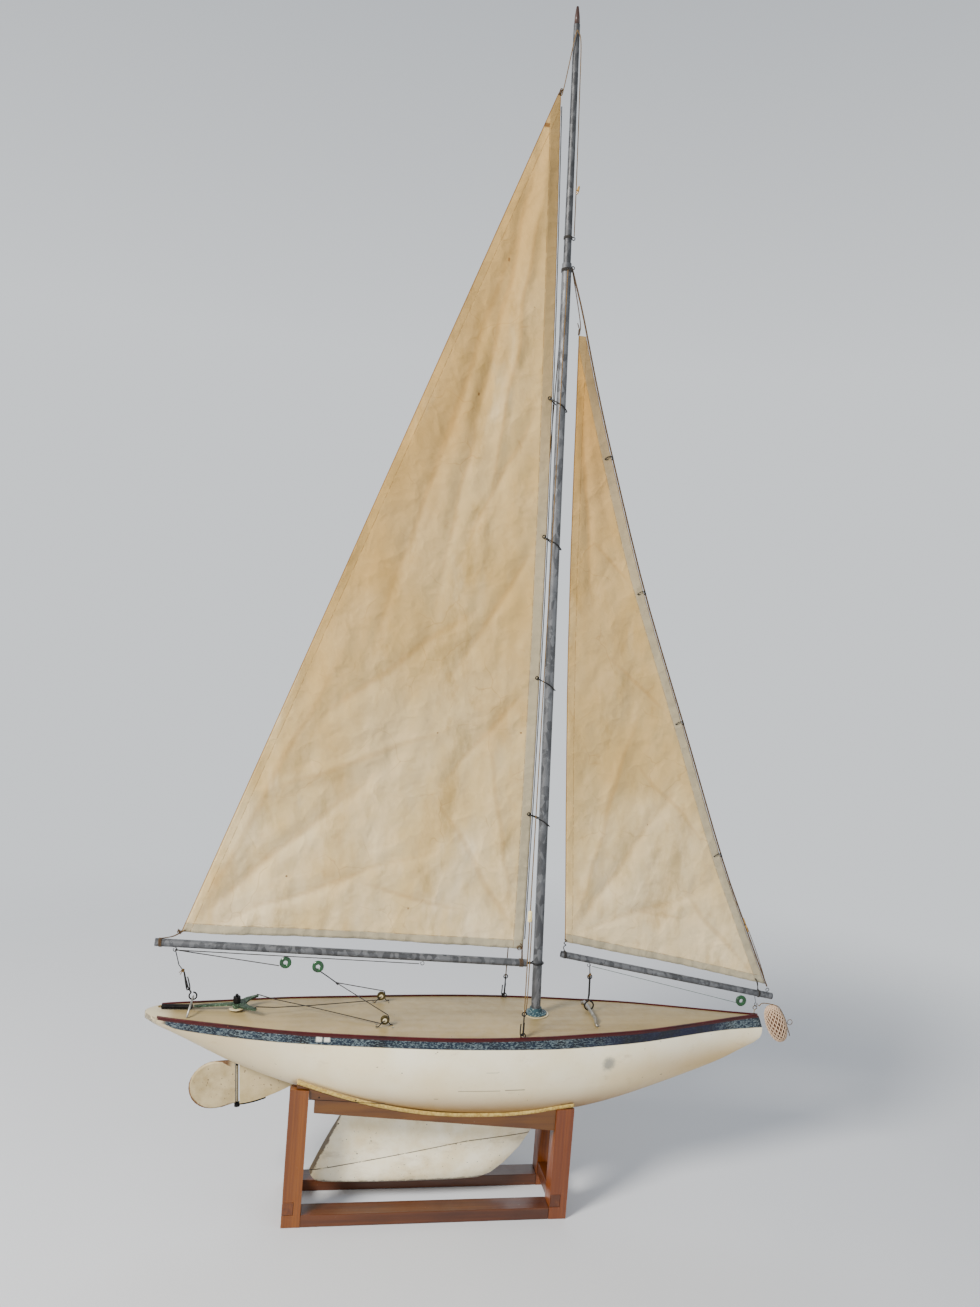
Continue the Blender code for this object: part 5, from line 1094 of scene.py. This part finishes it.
def build_rig_details():
    stay = sorted((z, x) for x, z in FORESTAY)

    def stay_points(*offsets):
        """Points beside the forestay: height, then how far they stand off it."""
        return [Vector((line_value(stay, z) + dx, dy, z + dz)) for z, dx, dy, dz in offsets]

    def on_stay(low, high, radius, turns):
        return coil_path(*stay_points((low, 0, 0, 0), (high, 0, 0, 0)), radius, turns)

    wraps = []
    for _, z in HANKS:
        wraps.append(on_stay(z - 0.003, z + 0.003, 0.0009, 5))
        wraps.append(smooth_path(stay_points((z + 0.002, 0, 0, 0), (z + 0.001, -0.006, -0.0014, 0),
                    (z - 0.002, -0.012, 0.0004, -0.001), (z - 0.003, -0.006, 0.0016, 0),
                    (z - 0.002, 0, 0, 0)), 16))
    cords("forestay_hanks", wraps, 0.0007, "jib_boom", WIRE, "wire", 6)
    fall = smooth_path(stay_points((0.43, 0, 0, 0), (0.415, 0.0026, -0.0008, 0), (0.37, 0.0026, -0.0008, 0),
            (0.329, 0, 0, 0)), 16)
    cords("forestay_fall", [fall, on_stay(1.36, 1.372, 0.001, 6)], 0.0006, "jib_boom", STAY, "cord", 6)
    bead("forestay_bowsie", [stay_points(*((low + (high - low) * i / 6, 0.0012, 0, 0) for i in range(7)))
            for low, high in ((0.4115, 0.4225), (0.424, 0.433))],
        [[r * s for s in (0.55, 1.0, 0.86, 0.8, 0.86, 1.0, 0.55)] for r in (0.0019, 0.0017)], "jib_boom")

    bands = [coil_path(mast_point(z - height / 2), mast_point(z + height / 2), r, 4, 24)
        for z, height, r in ((1.418, 0.0035, 0.006), (1.372, 0.005, MAST_R + 0.0005))]
    cords("mast_seizings", bands, 0.0006, "hull", DARK_CORD, "cord", 6)
    crane = [hoop(mast_point(1.418, 0.0082), 0.0022), hoop(mast_point(1.3767, 0.0094), 0.0022)]
    cords("mast_eyes", crane, 0.0007, "hull", WIRE, "wire", 6)
    bead("halyard_bowsie", [[mast_point(1.481 + 0.004 * i, 0.0105 + 0.001 * i) for i in range(4)]],
        [[0.001, 0.0019, 0.0019, 0.001]], "hull")
    head = flat(JIB_HEAD)
    ties = [smooth_path([flat(FORESTAY[0]), *around(head, (-0.003, -0.0006, 0.02), (-0.003, 0, 0.003))], 12),
        coil_path(*around(head, (-0.003, 0, 0.001), (-0.003, 0, 0.009)), 0.0011, 5),
        smooth_path(around(head, (-0.003, 0, 0.009), (-0.007, -0.002, 0.017)), 4)]
    cords("jib_head_tie", ties, 0.0007, "jib_boom", STAY, "cord", 6)
    turns = coil_path(*around(flat(MAIN_HEAD), (-0.002, 0, -0.004), (0.001, 0, 0.006)), 0.0016, 5)
    cords("main_head_tie", [turns], 0.0007, "main_boom", STAY, "cord", 6)
    foot, axis = shroud_line(-1)
    fall = [foot + axis * along + Vector((off, 0, 0))
        for along, off in ((0.033, 0.0004), (0.05, 0.003), (0.15, 0.0034), (0.168, 0.0024))]
    cords("shroud_fall", [smooth_path(fall, 14)], LINE_R, "hull", CORD, "cord", 6)
    for side, name in SIDES:
        foot, up = shroud_line(side)
        low = foot - Vector((0, 0, 0.003))
        hook = [low + up * along + Vector((off, 0, 0))
            for along, off in ((0.006, 0), (0.0035, -0.002), (0.006, -0.0042), (0.02, -0.004))]
        parts = [hoop(low + Vector((0, 0, 0.0034)), 0.0034, -90, 350), hoop(low + up * 0.034, 0.003),
            [low + up * 0.006, low + up * 0.031], smooth_path(hook, 12)]
        cords(name + "_deck_eye", parts, 0.0009, "hull", WIRE, "wire", 6)
    build_lashings()

    eye = flat(BRIDLE_EYE)
    ring = flat(STEERING_BOWSIE) + Vector((0.0022, 0, -0.0056))
    hook = [hoop(ring, 0.0022),
        smooth_path([ring + Vector((0.0016, 0, -0.0016)), ring.lerp(eye, 0.55), eye], 10),
        ring_path(eye + Vector((0.0012, 0, -0.0012)), (0.7, 0, -0.7), (0, 1, 0), 0.002)]
    cords("bridle_hook", hook, 0.0009, "main_boom", WIRE, "wire", 6)


def build_lashings():
    """Cord that ties the corners of the sails to the ends of the booms."""
    clew, tack = flat(MAIN_CLEW), flat(MAIN_TACK)
    end, front = (flat(mid(BOOM_AFT, BOOM_FWD, t)) for t in (0.01, 0.985))
    top = BOOM_R
    lash = [coil_path(*around(end, (0, 0, 0), (0.004, 0, 0)), BOOM_R + 0.0003, 3, 16),
        smooth_path([*around(end, (0.003, 0, top)),
                *around(clew, (-0.01, 0.001, -0.006), (0.002, 0.0016, 0.001), (0.006, 0, 0.002),
                (0.002, -0.0016, 0.001), (-0.01, -0.001, -0.006)), *around(end, (0.001, 0, top))], 30),
        coil_path(*around(clew, (-0.005, 0, 0.002), (0.001, 0, -0.001)), 0.0022, 3, 12),
        coil_path(*around(front, (-0.003, 0, 0), (0.003, 0, 0)), BOOM_R + 0.0003, 3, 16),
        smooth_path([*around(front, (0.001, -0.003, top - 0.001)),
                *around(tack, (-0.002, -0.0018, 0.004), (-0.005, 0, 0.008), (-0.002, 0.0018, 0.004)),
                *around(front, (0.001, 0.003, top - 0.001))], 20),
        hoop(*around(tack, (-0.006, -0.0012, 0.002)), 0.003)]
    cords("main_lashings", lash, 0.0007, "main_boom", STAY, "cord", 6)
    clew, tack = flat(JIB_CLEW), flat(JIB_TACK)
    end, front = (flat(mid(JIB_BOOM_AFT, JIB_BOOM_FWD, t)) for t in (0.012, 0.93))
    top = JIB_BOOM_R
    lash = [coil_path(*around(end, (0, 0, 0), (0.0035, 0, 0)), JIB_BOOM_R + 0.0003, 3, 16),
        smooth_path([*around(end, (0.001, -0.001, top)),
                *around(clew, (-0.002, -0.0015, -0.007), (0.002, 0.0012, -0.005),
                (-0.002, -0.0014, -0.001), (0.003, 0.001, 0.002), (-0.001, 0.001, 0.004))], 22),
        smooth_path([*around(front, (0, 0, top)),
                *around(tack, (-0.004, -0.0015, 0.002), (-0.008, 0, 0.008), (-0.004, 0.0015, 0.002)),
                *around(front, (0.001, 0, top))], 20),
        coil_path(*around(front, (0, 0, 0), (0.003, 0, -0.0005)), JIB_BOOM_R + 0.0003, 2, 16)]
    cords("jib_lashings", lash, 0.0007, "jib_boom", DARK_CORD, "cord", 6)


def shroud_line(side):
    """Foot of a shroud over its deck eye, and the unit vector up it."""
    foot = Vector((0.0393, side * 0.0718, deck_z(0.0393, 0.0718) + 0.003))
    return foot, (Vector(mast_point(1.37, 0, side * 0.0082)) - foot).normalized()


def build_deck_details():
    x = MAST_FOOT[0]
    bm = bmesh.new()
    disc(bm, (x, 0, deck_z(x, 0) + 0.0004), (math.sin(-MAST_RAKE), 0, 1), 0.019, 0.0006, 48)
    made("mast_dirt_ring", bm, "hull", GRIME, "deck_paint")
    bar = deck_z(-0.435, 0) + 0.0042
    spring = coil_path((-0.4216, 0, bar), (-0.411, 0, bar), 0.002, 9)
    cords("centring_spring", [spring], 0.00035, "hull", STEEL, "wire", 6)
    eye = ring_path((-0.4655, 0, bar), (1, 0, 0), (0, 1, 0), 0.0022)
    cords("centring_eye", [eye], 0.0007, "hull", BRASS, "brass", 6)
    screws = []
    for side in (-1, 1):
        y = side * 0.041
        screws.append(((JIB_HORSE_X, y, deck_z(JIB_HORSE_X, y) + 0.0014), (0, side * 0.1, 1), 0.0022))
        for x in (PULLEY[0] - 0.0115, PULLEY[0] + 0.0115):
            for y in (side * PULLEY[1] - 0.0038, side * PULLEY[1] + 0.0038):
                screws.append(((x, y, deck_z(x, y) + 0.001), (0, 0, 1), 0.0011))
    discs("deck_screws", screws, 0.0008, "hull", STEEL, "brass")
    for side, name in SIDES:
        x, y, z = PULLEY[0], side * PULLEY[1], PULLEY[2]
        sheave = name + "_sheave"
        for face, end in ((-1, "out" if side < 0 else "in"), (1, "in" if side < 0 else "out")):
            boss = ((x, y + face * 0.0024, z), (0, face, 0), 0.003)
            discs(f"{sheave}_boss_{end}", [boss], 0.0005, sheave, GRIME, "brass")
        holes = [((x + 0.0034, y + face * 0.0023, z + 0.001), (0, face, 0), 0.0007) for face in (-1, 1)]
        discs(sheave + "_holes", holes, 0.0003, sheave, BLACK_METAL, "brass")
    stem = Vector(rudder_point(1)) - Vector(rudder_point(0))
    discs("rudder_washer", [(rudder_point(QUADRANT_ON_STOCK + 0.0034), stem, 0.0112)], 0.0006, "hull", GRIME,
        "brass")
    for side, name in SIDES:
        line = [rudder_point(h, -0.0002, side * 0.0026) for h in (0.004, 0.03, 0.056)]
        cords(name + "_hinge_strip", [line], 0.0005, "hull", GRIME, "hull_paint", 8)
    skeg = [((-0.2995, side * 0.0034, 0.19), (0, side, 0), 0.001) for side in (-1, 1)]
    discs("skeg_nail", skeg, 0.0006, "hull", BLACK_METAL, "brass")


def build_stand_details():
    bm = bmesh.new()
    for side in (-1, 1):
        y = side * (BOARD_OUTER_Y + 0.0001)
        rows = []
        for i in range(9):
            x, z = mid(*WEDGE_LINE, i / 8)
            rows.append([bm.verts.new((x, y + across * 0.00025, z + up * 0.00025))
                    for across, up in ((-1, -1), (1, -1), (1, 1), (-1, 1))])
        bridge(bm, rows)
    made("wedge_joint", bm, "stand", GAP_DARK, "stand_wood")
    nails = [((x, side * (BOARD_OUTER_Y + 0.0002), z), (0, side, 0), 0.0011) for side in (-1, 1)
        for x, z in ((-0.188, 0.1785), (-0.239, 0.1835))]
    discs("board_nails", nails, 0.0005, "stand", BLACK_METAL, "stand_wood")


def puff(obj, pressure, frames, cap, held=None):
    """Cloth simulation with pressure, so that a padded piece swells and wrinkles; then capped."""
    before = [v.co.copy() for v in obj.data.vertices]
    step = obj.modifiers.new("stuffing", "CLOTH")
    cloth = step.settings
    cloth.quality = 4
    cloth.use_pressure = True
    cloth.uniform_pressure_force = pressure
    cloth.effector_weights.gravity = 0.0
    cloth.tension_stiffness = 8.0
    cloth.bending_stiffness = 0.3
    if held:
        cloth.vertex_group_mass = held
    step.point_cache.frame_end = frames
    scene = bpy.context.scene
    for number in range(1, frames + 1):
        scene.frame_set(number)
    view = bpy.context.evaluated_depsgraph_get()
    after = [v.co.copy() for v in obj.evaluated_get(view).to_mesh().vertices]
    obj.evaluated_get(view).to_mesh_clear()
    obj.modifiers.remove(step)
    scene.frame_set(1)
    for vertex, old, new in zip(obj.data.vertices, before, after):
        shift = new - old
        if shift.length > cap:
            shift *= cap / shift.length
        vertex.co = old + shift


def build_pads():
    """Felt strips on the cradle boards, swollen at their free sides and worn in where the hull sits."""
    for side in ("starboard", "port"):
        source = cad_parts[side + "_pad"]
        bm = bmesh.new()
        bm.from_mesh(source.data)
        bm.transform(source.matrix_world)
        bmesh.ops.remove_doubles(bm, verts=bm.verts, dist=2e-6)
        bmesh.ops.dissolve_limit(bm, angle_limit=math.radians(0.05), verts=bm.verts, edges=bm.edges)
        obj = made(side + "_pad_felt", bm, None, FELT, "padding", 80)
        remesh = obj.modifiers.new("even_mesh", "REMESH")
        remesh.mode = "VOXEL"
        remesh.voxel_size = 0.0013
        view = bpy.context.evaluated_depsgraph_get()
        even = bpy.data.meshes.new_from_object(obj.evaluated_get(view))
        obj.modifiers.remove(remesh)
        obj.data = even
        even.materials.clear()
        even.materials.append(FELT)
        even.shade_smooth()
        group = obj.vertex_groups.new(name="held")
        held = [v.index for v in even.vertices if PAD_HELD_Y[0] < abs(v.co.y) < PAD_HELD_Y[1]]
        group.add(held, 1.0, "REPLACE")
        puff(obj, 3.0, 12, 0.0009, "held")
        for v in obj.data.vertices:
            wave = 0.0003 * noise.noise(Vector((v.co.x * 60, v.co.y * 40, v.co.z * 60)))
            v.co.y += math.copysign(wave, v.co.y)
        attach(obj, "stand")
        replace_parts(obj, side + "_pad")


# ==================== bow bumper and its cord
def bumper_frame():
    axis = Vector((math.sin(BUMPER_TILT), 0, -math.cos(BUMPER_TILT)))
    across = Vector((math.cos(BUMPER_TILT), 0, math.sin(BUMPER_TILT)))
    return flat(BUMPER_CENTRE), axis, across


def bumper_cord_path():
    centre, axis, across = bumper_frame()

    def over(t, off):
        a = math.pi * t
        r = BUMPER_HALF[1] * math.sin(a) ** 0.8 + off
        return centre + axis * (-BUMPER_HALF[0] * math.cos(a)) + across * r

    route = [Vector((0.43, 0, 0.2945)), Vector((0.437, 0, 0.299)), over(0.16, 0.0015), over(0.32, 0.0014),
        over(0.5, 0.0014), over(0.64, 0.0018), over(0.78, 0.005), over(0.9, 0.009)]
    return smooth_path(route, 34)


def build_bumper_cord():
    path = bumper_cord_path()
    curve = bpy.data.curves.new("bumper_tie", "CURVE")
    curve.dimensions = "3D"
    curve.bevel_depth = 0.0007
    curve.bevel_resolution = 3
    curve.use_fill_caps = True
    spline = curve.splines.new("POLY")
    spline.points.add(len(path) - 1)
    for point, co in zip(spline.points, path):
        point.co = (*co, 1.0)
    curve.materials.append(CORD)
    obj = placed("bumper_tie", curve)
    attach(obj, "hull")
    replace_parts(obj, "bumper_cord")


def build_bumper():
    """Crocheted bumper: a stuffed form inside a net of yarn with diamond-shaped holes."""
    centre, axis, across = bumper_frame()
    side = axis.cross(across)

    def surface(t, a, grow):
        ring = BUMPER_HALF[1] * math.sin(math.pi * t) ** 0.8 + grow
        return (centre + axis * (-(BUMPER_HALF[0] + grow) * math.cos(math.pi * t))
            + (across * math.cos(a) + side * math.sin(a)) * ring)

    bm = bmesh.new()
    rows = []
    for i in range(1, 28):
        rows.append([bm.verts.new(surface(i / 28, math.tau * k / 32, -0.0018)) for k in range(32)])
    bridge(bm, rows)
    # The form's dark colour is partly painted shade seen through the net's holes.
    core = made("bumper_form", bm, None, YARN_BACK, "crochet", 80)
    puff(core, 2.0, 10, 0.001)
    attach(core, "hull")

    bm = bmesh.new()
    rings, waves = 17, 13
    for k in range(1, rings):
        t = 0.055 + 0.89 * k / rings
        count = waves * 12
        path = []
        for i in range(count + 1):
            a = math.tau * i / count
            swing = 0.0285 * math.sin(waves * a + math.pi * k)
            path.append(surface(t + swing, a, -0.0006 + 0.0005 * math.cos(2 * waves * a)))
        sweep(bm, path, 0.00082, 6)
    for end in (0.05, 0.95):
        for k in range(3):
            t = end + (0.018 * k if end < 0.5 else -0.018 * k) - (0.018 if end < 0.5 else -0.018)
            t = min(max(t, 0.012), 0.988)
            sweep(bm, [surface(t, math.tau * i / 24, -0.0006) for i in range(25)], 0.001, 6)
    net = made("bumper_crochet", bm, "hull", YARN, "crochet")
    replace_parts(net, "bow_bumper")
    loop = centre + across * 0.019 + axis * 0.008
    ties = [ring_path(loop + across * 0.003, axis, across, 0.0042, 0, 360, 24),
        smooth_path([(0.43, 0, 0.2945), (0.428, 0.001, 0.296), (0.4268, 0, 0.2985)], 8)]
    cords("bumper_loop", ties, 0.0005, "hull", CORD, "cord", 6)


build_camera()
build_bumper_cord()
build_studio()
build_hull()
build_deck()
build_gunwale()
build_dressed()
build_sails()
build_lines()
build_hoops()
build_rig_details()
build_deck_details()
build_stand_details()
build_pads()
build_bumper()
